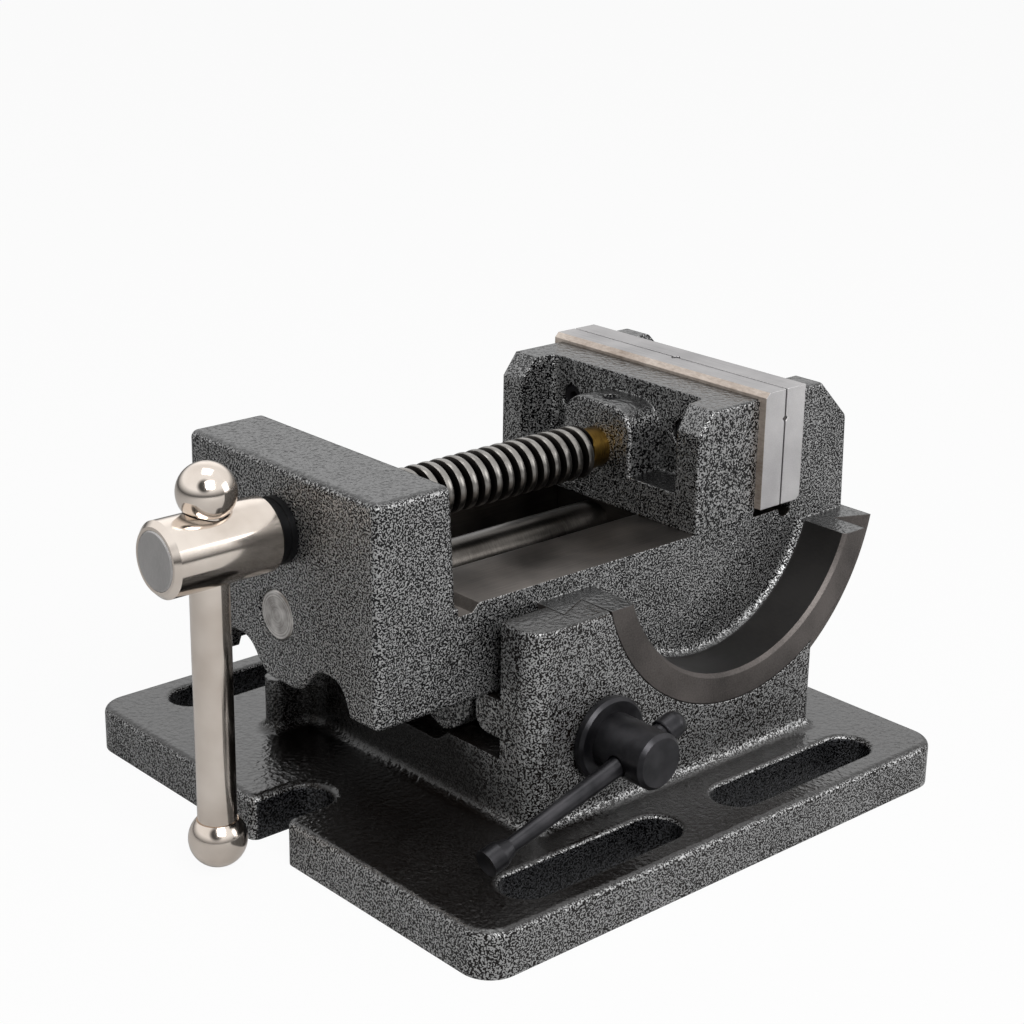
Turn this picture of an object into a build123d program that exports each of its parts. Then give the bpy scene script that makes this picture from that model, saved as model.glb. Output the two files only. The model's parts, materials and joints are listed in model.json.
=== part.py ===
from build123d import *
import math
import os

# A tilting drill press vise with 100 mm jaws. The body tilts in a cradle on two
# dovetail rings, a cross screw clamps the cradle's cheeks, and a lead screw
# drives the movable jaw along the ways. Sizes are in millimetres. The origin is
# the centre of the base's underside, +X runs along the lead screw towards the
# fixed jaw, +Y across the vise and +Z up. The model stands level, jaws closed.

# Clearances
slide_gap = 0.1
running_gap = 0.05
press_gap = 0.02
curved_gap = 0.3
bolt_gap = 0.4
overrun = 3.0
pick_margin = 0.01

# Base plate; its width follows the cradle's
base_length = 200.0
base_flange_width = 36.0
plate_thickness = 15.0
plate_corner_radius = 10.0
plate_edge_radius = 2.5
slot_width = 16.0
slot_length = 69.0
slot_pitch_x = 88.5
slot_inset = 19.3
slot_rim_radius = 1.6
notch_width = 17.0
notch_depth = 22.5
notch_mouth_radius = 3.0

# Cradle on the base plate; its width follows the body's
cradle_side_gap = 4.5
cradle_rear_x = -51.0
cradle_front_x = 74.3
cradle_corner_radius = 7.0
cradle_front_corner_radius = 2.0
cradle_foot_radius = 4.0
cheek_thickness = 15.0
cheek_top_z = 80.0
cheek_edge_radius = 1.5
end_wall_thickness = 10.0
end_wall_top_z = 35.5
end_wall_dip_width = 43.0
end_wall_dip_slope = 5.5
end_wall_dip_depth = 4.2
end_wall_dip_radius = 3.0
tie_wall_height = 7.0
lock_boss_radius = 9.3
lock_boss_length = 26.0

# Rib outside the end wall and the two pads above it
rib_length = 16.0
rib_width = 8.0
rib_inset = 1.0
rib_top_z = 33.4
rib_corner_radius = 3.5
rib_blend_radius = 8.0
rib_back_blend_radius = 2.5
rest_pad_width = 11.0
rest_pad_height = 12.2
rest_pad_gap = 0.5
rest_pad_corner_radius = 5.0

# Tilt rings, one each side of the body
tilt_x = 38.5
tilt_z = 96.5
ring_inner_radius = 51.4
ring_neck_radius = 61.0
ring_outer_radius = 73.0
ring_top_z = 80.0
dovetail_root_inset = 13.4
dovetail_tip_inset = 7.7
ring_edge_chamfer = 1.2
ring_root_radius = 3.0

# Vise body; its width follows the jaw plates'
body_inset = 3.5
body_wall = 8.0
body_rear_x = -94.0
body_bottom_z = 55.0
head_length = 27.7
head_draft = 2.4
head_top_z = 124.3
head_edge_radius = 2.5
head_foot_radius = 1.5
head_front_wall = 7.5
arch_height = 9.8
arch_lobe_half_width = 4.5
arch_crown_inset = 21.5
arch_crown_length = 2.5
arch_leg_inset = 33.2
arch_leg_slope_share = 0.45
way_top_z = 86.0
way_thickness = 20.0
way_slot_width = 40.0
way_slot_front_x = 64.0
way_relief_length = 8.1
way_relief_slope = 2.7
way_relief_depth = 2.6
drum_wall = 7.0
keeper_channel_inset = 14.5
keeper_channel_depth = 12.0

# Stop web that hangs from the body over the end wall, flush with its outer face
stop_web_thickness = 7.0
stop_web_corner_radius = 17.0
stop_web_gap = 0.5
stop_web_arch_width = 49.0
stop_web_arch_height = 5.9

# Fixed jaw, cast with the body, with a pocket between two ears at its back
fixed_seat_x = 81.4
fixed_jaw_length = 27.6
fixed_jaw_top_z = 126.5
fixed_jaw_flat = 12.9
fixed_jaw_slope_run = 13.6
fixed_jaw_slope_drop = 13.7
fixed_jaw_bend_radius = 3.0
fixed_jaw_edge_radius = 1.5
fixed_ear_width = 11.2
fixed_wall_drop = 5.5
fixed_pocket_height = 12.0
fixed_pocket_radius = 3.0
seat_relief_radius = 3.0

# Movable jaw
jaw_rear_x = 35.2
jaw_length = 27.3
jaw_inset = 2.8
jaw_height = 40.4
jaw_nose_run = 5.8
jaw_nose_drop = 7.5
jaw_ear_width = 10.0
jaw_ear_draft = 2.2
jaw_pocket_length = 13.8
jaw_pocket_floor = 11.6
jaw_pocket_radius = 2.5
jaw_pocket_foot_radius = 1.5
jaw_boss_width = 31.8
jaw_boss_height = 22.8
jaw_boss_corner_radius = 9.3
jaw_boss_rim_radius = 1.2
jaw_edge_radius = 1.2
lug_inset = 1.8

# Jaw plates
plate_width = 100.0
plate_height = 39.5
plate_lift = 3.5
movable_plate_thickness = 9.2
fixed_plate_thickness = 8.9
plate_top_chamfer = 1.6
plate_groove_depth = 1.6
plate_cross_groove_depth = 0.9
plate_groove_drop = 10.0
plate_back_chamfer = 1.5

# Screws that hold the jaw plates
plate_screw_spread_share = 0.53
plate_screw_radius = 2.5
plate_screw_head_radius = 4.25
plate_screw_head_length = 5.0
plate_screw_sink = 1.0
plate_screw_grip = 7.0
plate_screw_height = 23.4
fixed_screw_height = 17.0
hex_socket_size = 4.0
hex_socket_depth = 2.5

# Lead screw and its hub
screw_z = 104.5
screw_radius = 9.0
screw_end_proud = 0.4
screw_end_chamfer = 0.3
screw_shoulder_gap = 0.3
journal_radius = 5.5
journal_end_x = 47.0
journal_groove_radius = 4.4
journal_groove_width = 6.6
hub_radius = 11.6
hub_length = 37.8
hub_edge_chamfer = 1.6
collar_radius = 10.4
collar_neck_radius = 9.8
collar_flange_length = 2.0
collar_length = 4.4
bush_radius = 6.8
bush_proud = 6.6
bush_seat_length = 13.0
retaining_screw_radius = 3.0
retaining_screw_inset = 6.8
retaining_screw_sink = 1.0

# Handle bar and its balls
handle_x = -118.6
handle_radius = 6.0
handle_hole_gap = 0.2
handle_ball_radius = 9.0
handle_ball_spacing = 110.0
handle_ball_lift = 17.0
handle_end_inset = 3.0

# Guide rod under the lead screw, a little to its side
guide_y = 2.3
guide_z = 76.5
rod_radius = 8.0
rod_end_x = 78.0
rod_face_recess = 0.6
rod_face_recess_margin = 0.9

# Keeper plate under the ways
keeper_side_gap = 2.0
keeper_thickness = 6.0
keeper_bolt_radius = 3.0
keeper_bolt_head_radius = 5.0
keeper_bolt_head_length = 3.5
keeper_bolt_spread = 30.0
keeper_bolt_length = 14.0

# Cross screw that clamps the cheeks
lock_setback = 13.0
lock_z = 39.5
lock_shank_radius = 6.0
lock_hub_radius = 9.0
lock_hub_length = 20.2
lock_hub_chamfer = 1.2
lock_washer_radius = 13.6
lock_washer_length = 3.0
lock_washer_chamfer = 1.0
lock_rest_gap = 0.8
lock_nut_size = 19.0
lock_nut_length = 10.0
lock_shank_proud = 3.0

# Sliding bar of the cross screw
lock_bar_inset = 10.0
lock_bar_tilt = 15.9
lock_bar_thick_radius = 3.4
lock_bar_thin_radius = 2.3
lock_bar_long_reach = 62.0
lock_bar_short_reach = 10.8
lock_cap_radius = 4.2
lock_cap_length = 9.0
lock_cap_dish = 1.0
lock_cap_lip = 0.5
lock_cap_shoulder = 4.0
lock_cap_seat = 5.0

# Places worked out from the sizes above
body_half = plate_width / 2 - body_inset
jaw_half = plate_width / 2 - jaw_inset
cheek_inner_y = body_half + cradle_side_gap
cradle_half = cheek_inner_y + cheek_thickness
base_width = 2 * (cradle_half + base_flange_width)
slot_pitch_y = 2 * (cradle_half + slot_inset)
pit_rear_x = cradle_rear_x + end_wall_thickness
pit_front_x = cradle_front_x - end_wall_thickness
rib_y = cheek_inner_y - rib_inset
rest_pad_y = cheek_inner_y - rest_pad_width
rest_pad_top_z = body_bottom_z - rest_pad_gap
head_front_x = body_rear_x + head_length
head_foot_x = head_front_x + head_draft
ring_front_y = cradle_half
way_bottom_z = way_top_z - way_thickness
keeper_channel_z = way_bottom_z - keeper_channel_depth
keeper_channel_half = body_half - keeper_channel_inset
keeper_half = keeper_channel_half - keeper_side_gap
fixed_face_x = fixed_seat_x + fixed_jaw_length
fixed_wall_x = fixed_seat_x + fixed_jaw_flat
fixed_pocket_z = way_top_z + fixed_pocket_height
jaw_bottom_z = way_top_z + slide_gap
jaw_front_x = jaw_rear_x + jaw_length
jaw_top_z = jaw_bottom_z + jaw_height
pocket_floor_z = jaw_bottom_z + jaw_pocket_floor
pocket_back_x = jaw_rear_x + jaw_pocket_length
plate_bottom_z = way_top_z + plate_lift
hub_rear_x = body_rear_x - curved_gap - collar_length - hub_length
collar_rear_x = hub_rear_x + hub_length
screw_thread_end_x = jaw_rear_x - bush_proud - screw_shoulder_gap
plate_screw_bore_depth = plate_screw_head_length + plate_screw_sink
movable_screw_seat_x = pocket_back_x + plate_screw_bore_depth
fixed_screw_seat_x = fixed_wall_x - plate_screw_bore_depth
plate_screw_y = plate_width * plate_screw_spread_share / 2
screw_rows = (-plate_screw_y, plate_screw_y)
lug_rear_x = jaw_rear_x + lug_inset
lug_front_x = jaw_front_x - lug_inset
lug_half = way_slot_width / 2 - curved_gap
keeper_top_z = way_bottom_z - slide_gap
keeper_bottom_z = keeper_top_z - keeper_thickness
lock_x = tilt_x - ring_outer_radius + lock_setback
upper_ball_z = screw_z + handle_ball_lift
lower_ball_z = upper_ball_z - handle_ball_spacing
lock_washer_y = -cradle_half - lock_rest_gap
lock_hub_y = lock_washer_y - lock_washer_length
lock_bar_y = lock_hub_y - lock_bar_inset


def block(x_low, x_high, y_low, y_high, z_low, z_high):
    """Returns a box between two opposite corners."""
    middle = ((x_low + x_high) / 2, (y_low + y_high) / 2, (z_low + z_high) / 2)
    return Pos(*middle) * Box(x_high - x_low, y_high - y_low, z_high - z_low)


def rod_x(radius, x_low, x_high, y, z):
    """Returns a round bar along X."""
    return Pos((x_low + x_high) / 2, y, z) * Rot(0, 90, 0) * Cylinder(radius, x_high - x_low)


def rod_y(radius, y_low, y_high, x, z):
    """Returns a round bar along Y."""
    return Pos(x, (y_low + y_high) / 2, z) * Rot(90, 0, 0) * Cylinder(radius, y_high - y_low)


def rod_z(radius, z_low, z_high, x, y):
    """Returns a round bar along Z."""
    return Pos(x, y, (z_low + z_high) / 2) * Cylinder(radius, z_high - z_low)


def side_slab(points, y_low, y_high):
    """Extrudes an outline of (x, z) points from one y to another."""
    outline = make_face(Polyline(*points, close=True))
    return Pos(0, y_low, 0) * extrude(Plane.XZ * outline, amount=y_low - y_high)


def near(value, target):
    """Says whether two lengths agree within the picking margin."""
    return abs(value - target) < pick_margin


def edges_at(solid, test):
    """Returns the edges whose middle point passes a test."""
    return [edge for edge in solid.edges() if test(edge @ 0.5)]


def turned_profile(points):
    """Revolves (radius, y) points about the tilt axis."""
    outline = make_face(Polyline(*points, close=True))
    return Pos(tilt_x, 0, tilt_z) * revolve(outline, axis=Axis.Y)


def both_sides(solid):
    """Returns a solid and its mirror image across the XZ plane."""
    return [solid, mirror(solid, about=Plane.XZ)]


def plate_outline():
    """Draws the base plate with its slots and the notch in each end."""
    outline = RectangleRounded(base_length, base_width, plate_corner_radius)
    for side in (-1, 1):
        mouth = Pos(side * (base_length - notch_depth + notch_width / 2) / 2, 0)
        outline -= mouth * Rectangle(notch_depth - notch_width / 2, notch_width)
        end_x = side * (base_length / 2 - notch_depth + notch_width / 2)
        outline -= Pos(end_x, 0) * Circle(notch_width / 2)
    mouths = [v for v in outline.vertices() if near(abs(v.X), base_length / 2)
              and near(abs(v.Y), notch_width / 2)]
    outline = fillet(mouths, notch_mouth_radius)
    for x in (-slot_pitch_x / 2, slot_pitch_x / 2):
        for y in (-slot_pitch_y / 2, slot_pitch_y / 2):
            outline -= Pos(x, y) * SlotOverall(slot_length, slot_width)
    return outline


def base_plate():
    """Builds the base plate with rounded rims."""
    plate = extrude(plate_outline(), amount=plate_thickness)
    top = plate.faces().sort_by(Axis.Z)[-1]
    plate = fillet(top.outer_wire().edges(), plate_edge_radius)
    top = plate.faces().sort_by(Axis.Z)[-1]
    rims = [edge for wire in top.inner_wires() for edge in wire.edges()]
    return fillet(rims, slot_rim_radius)


def cradle_block():
    """Builds the cradle's solid outline before it is hollowed."""
    length = cradle_front_x - cradle_rear_x
    middle_x = (cradle_front_x + cradle_rear_x) / 2
    lump = block(cradle_rear_x, cradle_front_x, -cradle_half, cradle_half, 0, cheek_top_z)
    uprights = lump.edges().filter_by(Axis.Z)
    lump = fillet(uprights.filter_by_position(Axis.X, cradle_rear_x - length / 2, middle_x),
                  cradle_corner_radius)
    uprights = lump.edges().filter_by(Axis.Z)
    front = uprights.filter_by_position(Axis.X, cradle_front_x - pick_margin,
                                        cradle_front_x + pick_margin)
    lump = fillet(front, cradle_front_corner_radius)
    top = lump.faces().sort_by(Axis.Z)[-1]
    return fillet(top.outer_wire().edges(), cheek_edge_radius)


def end_wall_rib(cradle):
    """Adds the rib outside the end wall, blended into the wall."""
    rear_x = cradle_rear_x - rib_length
    cradle += block(rear_x, cradle_rear_x + pick_margin, rib_y - rib_width, rib_y, 0, rib_top_z)

    def upright_at(x, y):
        """Picks the rib's upright edge at one corner."""
        return edges_at(cradle, lambda point: near(point.X, x) and near(point.Y, y)
                        and point.Z < rib_top_z - pick_margin)
    cradle = fillet(upright_at(rear_x, rib_y) + upright_at(rear_x, rib_y - rib_width),
                    rib_corner_radius)
    cradle = fillet(upright_at(cradle_rear_x, rib_y - rib_width), rib_blend_radius)
    return fillet(upright_at(cradle_rear_x, rib_y), rib_back_blend_radius)


def rest_pad():
    """Builds the pad inside the +Y cheek that the body's side wall comes down to."""
    floor = rest_pad_top_z - rest_pad_height
    pad = block(cradle_rear_x, pit_rear_x, rest_pad_y, cheek_inner_y + pick_margin,
                floor, rest_pad_top_z)
    corner = edges_at(pad, lambda point: near(point.Y, rest_pad_y) and near(point.Z, floor))
    return fillet(corner, rest_pad_corner_radius)


def base_ring_cut():
    """Cuts the two dovetail grooves and the room between them."""
    slope = (dovetail_root_inset - dovetail_tip_inset) / (ring_outer_radius - ring_neck_radius)
    flank_gap = curved_gap * math.sqrt(1 + slope * slope) + curved_gap * slope
    neck = ring_neck_radius + curved_gap
    rim = ring_outer_radius + curved_gap
    root_y = ring_front_y - dovetail_root_inset + flank_gap
    tip_y = ring_front_y - dovetail_tip_inset + flank_gap
    out_y = ring_front_y + overrun
    return turned_profile([(0, -out_y), (neck, -out_y), (neck, -root_y), (rim, -tip_y),
                           (rim, tip_y), (neck, root_y), (neck, out_y), (0, out_y)])


def end_wall_dip():
    """Cuts the shallow dip in the end wall's top."""
    low = end_wall_top_z - end_wall_dip_depth
    foot = end_wall_dip_width / 2
    brim = foot + end_wall_dip_slope
    top = end_wall_top_z + overrun
    outline = make_face(Polyline((-foot, low), (foot, low), (brim, end_wall_top_z), (brim, top),
                                 (-brim, top), (-brim, end_wall_top_z), close=True))
    corners = [v for v in outline.vertices() if near(abs(v.X), foot) or near(v.Y, end_wall_top_z)]
    outline = fillet(corners, end_wall_dip_radius)
    depth = end_wall_thickness + 2 * overrun
    return Pos(cradle_rear_x - overrun, 0, 0) * extrude(Plane.YZ * outline, amount=depth)


def base_casting():
    """Builds the base: plate, cradle cheeks, end wall, pads and lock bosses."""
    casting = base_plate() + end_wall_rib(cradle_block())
    foot_rear_x = cradle_rear_x - rib_length - pick_margin
    foot = [edge for edge in casting.edges()
            if near((edge @ 0.5).Z, plate_thickness)
            and near((edge @ 0).Z, plate_thickness)
            and foot_rear_x < (edge @ 0.5).X < cradle_front_x + pick_margin
            and abs((edge @ 0.5).Y) < cradle_half + pick_margin]
    casting = fillet(foot, cradle_foot_radius)
    inner = cheek_inner_y
    casting -= block(pit_rear_x, pit_front_x, -inner, inner, plate_thickness, cheek_top_z + overrun)
    casting -= block(cradle_rear_x - overrun, pit_rear_x + overrun, -inner, inner,
                     end_wall_top_z, cheek_top_z + overrun)
    casting -= end_wall_dip()
    casting -= block(pit_front_x - overrun, cradle_front_x + overrun, -inner, inner,
                     plate_thickness + tie_wall_height, cheek_top_z + overrun)
    for pad in both_sides(rest_pad()):
        casting += pad
    boss_end_y = inner - lock_boss_length
    for boss in both_sides(rod_y(lock_boss_radius, boss_end_y, inner + pick_margin, lock_x, lock_z)):
        casting += boss
    casting -= base_ring_cut()
    casting -= rod_y(lock_shank_radius + bolt_gap, -cradle_half - overrun, cradle_half + overrun,
                     lock_x, lock_z)
    return casting


def body_ring():
    """Builds the dovetail ring on the +Y side of the body."""
    front = ring_front_y
    root_y = front - dovetail_root_inset
    tip_y = front - dovetail_tip_inset
    wall_y = body_half
    sunk_y = wall_y - body_wall / 2
    profile = Polyline((ring_inner_radius - ring_root_radius, wall_y),
                       (ring_inner_radius - ring_root_radius, sunk_y),
                       (ring_outer_radius, sunk_y), (ring_outer_radius, tip_y),
                       (ring_neck_radius, root_y), (ring_neck_radius, front),
                       (ring_inner_radius + ring_edge_chamfer, front),
                       (ring_inner_radius, front - ring_edge_chamfer),
                       (ring_inner_radius, wall_y + ring_root_radius))
    root = RadiusArc((ring_inner_radius, wall_y + ring_root_radius),
                     (ring_inner_radius - ring_root_radius, wall_y), ring_root_radius)
    ring = Pos(tilt_x, 0, tilt_z) * revolve(make_face([*profile.edges(), *root.edges()]),
                                            axis=Axis.Y)
    reach = ring_outer_radius + overrun
    return ring - block(tilt_x - reach, tilt_x + reach, 0, front + overrun,
                        ring_top_z, tilt_z + reach)


def fixed_jaw():
    """Builds the fixed jaw's block with its sloped back."""
    slope_x = fixed_wall_x + fixed_jaw_slope_run
    slope_z = fixed_jaw_top_z - fixed_jaw_slope_drop
    jaw = side_slab([(fixed_seat_x, way_bottom_z), (fixed_seat_x, fixed_jaw_top_z),
                     (fixed_wall_x, fixed_jaw_top_z), (slope_x, slope_z),
                     (fixed_face_x, ring_top_z), (fixed_face_x - drum_wall, way_bottom_z)],
                    -body_half, body_half)
    bends = edges_at(jaw, lambda point: (near(point.X, fixed_wall_x) or near(point.X, slope_x))
                     and near(point.Y, 0))
    return fillet(bends, fixed_jaw_bend_radius)


def fixed_jaw_pocket():
    """Cuts the pocket at the fixed jaw's back and lowers the wall between the ears."""
    half = body_half - fixed_ear_width
    top = fixed_jaw_top_z + overrun
    pocket = block(fixed_wall_x, fixed_face_x + overrun, -half, half, fixed_pocket_z, top)
    corners = edges_at(pocket, lambda point: near(abs(point.Y), half) and near(point.X, fixed_wall_x))
    pocket = fillet(corners, fixed_pocket_radius)
    wall_top = block(fixed_seat_x - overrun, fixed_wall_x + fixed_pocket_radius, -half, half,
                     fixed_jaw_top_z - fixed_wall_drop, top)
    return [pocket, wall_top]


def head_arch():
    """Cuts the arch in the foot of the head's front wall, on the +Y side."""
    floor = body_bottom_z - overrun
    crown = body_bottom_z + arch_height
    crown_end = arch_crown_inset + arch_crown_length
    rise = Spline((arch_lobe_half_width, body_bottom_z), (arch_crown_inset, crown),
                  tangents=[(1, 0), (1, 0)])
    top = Line((arch_crown_inset, crown), (crown_end, crown))
    fall = Spline((crown_end, crown), (arch_leg_inset, body_bottom_z),
                  tangents=[(1, 0), (arch_leg_slope_share, -1)])
    foot = Polyline((arch_leg_inset, body_bottom_z), (arch_leg_inset, floor),
                    (arch_lobe_half_width, floor), (arch_lobe_half_width, body_bottom_z))
    outline = make_face([rise, top, fall, *foot.edges()])
    depth = head_front_wall + 2 * overrun
    return Pos(body_rear_x - overrun, 0, 0) * extrude(Plane.YZ * outline, amount=depth)


def body_core():
    """Builds the head, the ways, the drum and the fixed jaw as one lump."""
    core = head_and_ways()
    bridge = block(tilt_x, fixed_wall_x, -body_half, body_half, ring_top_z, way_top_z)
    drum = rod_y(ring_outer_radius, -body_half, body_half, tilt_x, tilt_z)
    reach = ring_outer_radius + overrun
    drum -= block(tilt_x - reach, tilt_x + reach, -body_half - overrun, body_half + overrun,
                  ring_top_z, tilt_z + reach)
    core += bridge + drum + fixed_jaw()
    return fillet(fixed_jaw_edges(core), fixed_jaw_edge_radius)


def head_and_ways():
    """Builds the head and the ways with their arches and rounded edges."""
    lump = side_slab([(body_rear_x, body_bottom_z), (body_rear_x, head_top_z),
                      (head_front_x, head_top_z), (head_foot_x, way_top_z),
                      (tilt_x, way_top_z), (tilt_x, body_bottom_z)], -body_half, body_half)
    lump = fillet(head_edges(lump), head_edge_radius)
    for arch in both_sides(head_arch()):
        lump -= arch
    return fillet(head_foot_edges(lump), head_foot_radius)


def head_foot_edges(lump):
    """Picks the foot's outer rim, along the arches of the rear wall too."""
    def on_foot(point):
        on_rim = near(point.Z, body_bottom_z) and abs(point.Y) > body_half - head_edge_radius
        low = point.Z < body_bottom_z + arch_height + pick_margin
        return on_rim or (near(point.X, body_rear_x) and low)
    return edges_at(lump, on_foot)


def head_edges(core):
    """Picks the head's top rim and its upright corners."""
    def on_head(point):
        on_top = near(point.Z, head_top_z)
        on_front = head_front_x - pick_margin < point.X < head_foot_x and point.Z > way_top_z
        return on_top or (near(abs(point.Y), body_half)
                          and (near(point.X, body_rear_x) or on_front))
    return edges_at(core, on_head)


def fixed_jaw_edges(core):
    """Picks the side rims of the fixed jaw and the breaks of its back."""
    def on_jaw(point):
        side_rim = near(abs(point.Y), body_half) and point.X > fixed_seat_x + pick_margin
        return side_rim and point.Z > way_top_z + overrun
    return edges_at(core, on_jaw)


def stop_web():
    """Builds the web that stops the body level on the cradle's end wall."""
    half = body_half - body_wall
    floor = end_wall_top_z + stop_web_gap
    web = block(cradle_rear_x, cradle_rear_x + stop_web_thickness, -half, half,
                floor, way_bottom_z + pick_margin)
    corners = edges_at(web, lambda point: near(point.Z, floor) and near(abs(point.Y), half))
    web = fillet(corners, stop_web_corner_radius)
    half_chord = stop_web_arch_width / 2
    arch_radius = (half_chord * half_chord / stop_web_arch_height + stop_web_arch_height) / 2
    return web - rod_x(arch_radius, cradle_rear_x - overrun,
                       cradle_rear_x + stop_web_thickness + overrun, 0,
                       floor + stop_web_arch_height - arch_radius)


def body_hollow():
    """Cuts the room under the head and inside the drum."""
    half = body_half - body_wall
    rear_x = body_rear_x + head_front_wall
    under_head = block(rear_x, tilt_x, -half, half, body_bottom_z - overrun, way_bottom_z)
    under_head -= rod_y(ring_outer_radius, -body_half, body_half, tilt_x, tilt_z)
    inside = rod_y(ring_outer_radius - drum_wall, -half, half, tilt_x, tilt_z)
    reach = ring_outer_radius
    inside -= block(tilt_x - reach, tilt_x + reach, -body_half, body_half,
                    way_bottom_z, tilt_z + reach)
    return [under_head, inside]


def vise_body():
    """Builds the body casting: head, ways, drum with its rings, fixed jaw."""
    body = body_core()
    for hollow in body_hollow():
        body -= hollow
    body += stop_web()
    for ring in both_sides(body_ring()):
        body += ring
    half_slot = way_slot_width / 2
    rear_x = body_rear_x + head_front_wall
    body -= block(rear_x, way_slot_front_x + lug_inset, -keeper_channel_half,
                  keeper_channel_half, keeper_channel_z, way_bottom_z)
    body -= block(head_foot_x, way_slot_front_x, -half_slot, half_slot,
                  way_bottom_z - overrun, way_top_z + overrun)
    relief_end_x = head_foot_x + way_relief_length
    body -= side_slab([(head_foot_x, way_top_z + overrun),
                       (head_foot_x, way_top_z - way_relief_depth),
                       (relief_end_x - way_relief_slope, way_top_z - way_relief_depth),
                       (relief_end_x, way_top_z), (relief_end_x, way_top_z + overrun)],
                      -body_half - overrun, body_half + overrun)
    body -= rod_y(seat_relief_radius, -body_half - overrun, body_half + overrun,
                  fixed_seat_x - seat_relief_radius, way_top_z)
    for cut in fixed_jaw_pocket():
        body -= cut
    body -= rod_x(screw_radius + running_gap, body_rear_x - overrun, head_foot_x, 0, screw_z)
    body -= rod_x(rod_radius + press_gap, body_rear_x - overrun, rod_end_x, guide_y, guide_z)
    body -= rod_x(rod_radius + rod_face_recess_margin, body_rear_x - overrun,
                  body_rear_x + rod_face_recess, guide_y, guide_z)
    for y in screw_rows:
        z = plate_bottom_z + fixed_screw_height
        body -= rod_x(plate_screw_radius + bolt_gap, fixed_seat_x - overrun,
                      fixed_wall_x + overrun, y, z)
        body -= rod_x(plate_screw_head_radius + bolt_gap, fixed_screw_seat_x,
                      fixed_wall_x + overrun, y, z)
    return body


def jaw_boss():
    """Builds the horseshoe boss that holds the end of the lead screw."""
    half = jaw_boss_width / 2
    top = pocket_floor_z + jaw_boss_height
    boss = block(jaw_rear_x, pocket_back_x + pick_margin, -half, half,
                 pocket_floor_z - overrun, top)
    corners = edges_at(boss, lambda point: near(point.Z, top) and near(abs(point.Y), half))
    boss = fillet(corners, jaw_boss_corner_radius)
    rim = edges_at(boss, lambda point: near(point.X, jaw_rear_x) and point.Z > pocket_floor_z)
    return fillet(rim, jaw_boss_rim_radius)


def jaw_pocket():
    """Cuts the pocket between the ears, a little narrower towards the plate."""
    mouth = jaw_half - jaw_ear_width
    back = mouth - jaw_ear_draft
    outline = make_face(Polyline((jaw_rear_x - overrun, -mouth), (jaw_rear_x, -mouth),
                                 (pocket_back_x, -back), (pocket_back_x, back),
                                 (jaw_rear_x, mouth), (jaw_rear_x - overrun, mouth), close=True))
    corners = [v for v in outline.vertices() if near(v.X, pocket_back_x)]
    outline = fillet(corners, jaw_pocket_radius)
    pocket = extrude(outline, amount=jaw_top_z + overrun - pocket_floor_z)
    foot = edges_at(pocket, lambda point: near(point.Z, 0)
                    and point.X > jaw_rear_x - overrun + pick_margin)
    return Pos(0, 0, pocket_floor_z) * fillet(foot, jaw_pocket_foot_radius)


def jaw_lump():
    """Builds the movable jaw's outline with its pocket and ears."""
    lump = side_slab([(jaw_rear_x, jaw_bottom_z), (jaw_front_x, jaw_bottom_z),
                      (jaw_front_x, jaw_top_z), (jaw_rear_x + jaw_nose_run, jaw_top_z),
                      (jaw_rear_x, jaw_top_z - jaw_nose_drop)], -jaw_half, jaw_half)
    lump -= jaw_pocket()
    rims = edges_at(lump, lambda point: near(abs(point.Y), jaw_half)
                    and point.X < jaw_front_x - pick_margin and point.Z > jaw_bottom_z + pick_margin)
    return fillet(rims, jaw_edge_radius)


def movable_jaw():
    """Builds the movable jaw casting with the lug that rides in the ways."""
    jaw = jaw_lump() + jaw_boss()
    jaw += block(lug_rear_x, lug_front_x, -lug_half, lug_half, keeper_top_z + slide_gap,
                 jaw_bottom_z + pick_margin)
    jaw -= rod_x(rod_radius + running_gap, lug_rear_x - overrun, lug_front_x + overrun,
                 guide_y, guide_z)
    jaw -= rod_x(bush_radius + press_gap, jaw_rear_x - overrun, jaw_rear_x + bush_seat_length,
                 0, screw_z)
    jaw -= rod_z(retaining_screw_radius + press_gap, screw_z, jaw_top_z + overrun,
                 jaw_rear_x + retaining_screw_inset, 0)
    for y in screw_rows:
        z = plate_bottom_z + plate_screw_height
        jaw -= rod_x(plate_screw_radius + bolt_gap, pocket_back_x - overrun,
                     jaw_front_x + overrun, y, z)
        jaw -= rod_x(plate_screw_head_radius + bolt_gap, pocket_back_x - overrun,
                     movable_screw_seat_x, y, z)
    for y in (-keeper_bolt_spread / 2, keeper_bolt_spread / 2):
        jaw -= rod_z(keeper_bolt_radius + press_gap, keeper_bottom_z,
                     keeper_bottom_z + keeper_bolt_length + overrun,
                     (lug_rear_x + lug_front_x) / 2, y)
    return jaw


def jaw_plate(rear_x, thickness, grip_x, screw_height):
    """Builds one ground jaw plate; grip_x is the face that holds the work."""
    half = plate_width / 2
    top = plate_bottom_z + plate_height
    plate = block(rear_x, rear_x + thickness, -half, half, plate_bottom_z, top)
    groove = plate_groove_depth
    turned = Box(groove * math.sqrt(2), groove * math.sqrt(2), plate_height + 2 * overrun)
    plate -= Pos(grip_x, 0, plate_bottom_z + plate_height / 2) * Rot(0, 0, 45) * turned
    across = plate_cross_groove_depth
    cross = Box(across * math.sqrt(2), plate_width + 2 * overrun, across * math.sqrt(2))
    plate -= Pos(grip_x, 0, top - plate_groove_drop) * Rot(0, 45, 0) * cross
    back_x = rear_x if near(grip_x, rear_x + thickness) else rear_x + thickness
    inward = 1 if grip_x > back_x else -1
    for y in screw_rows:
        deep_x = back_x + inward * plate_screw_grip
        plate -= rod_x(plate_screw_radius + press_gap, min(back_x, deep_x) - pick_margin,
                       max(back_x, deep_x) + pick_margin, y, plate_bottom_z + screw_height)
    return plate, back_x, top


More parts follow.
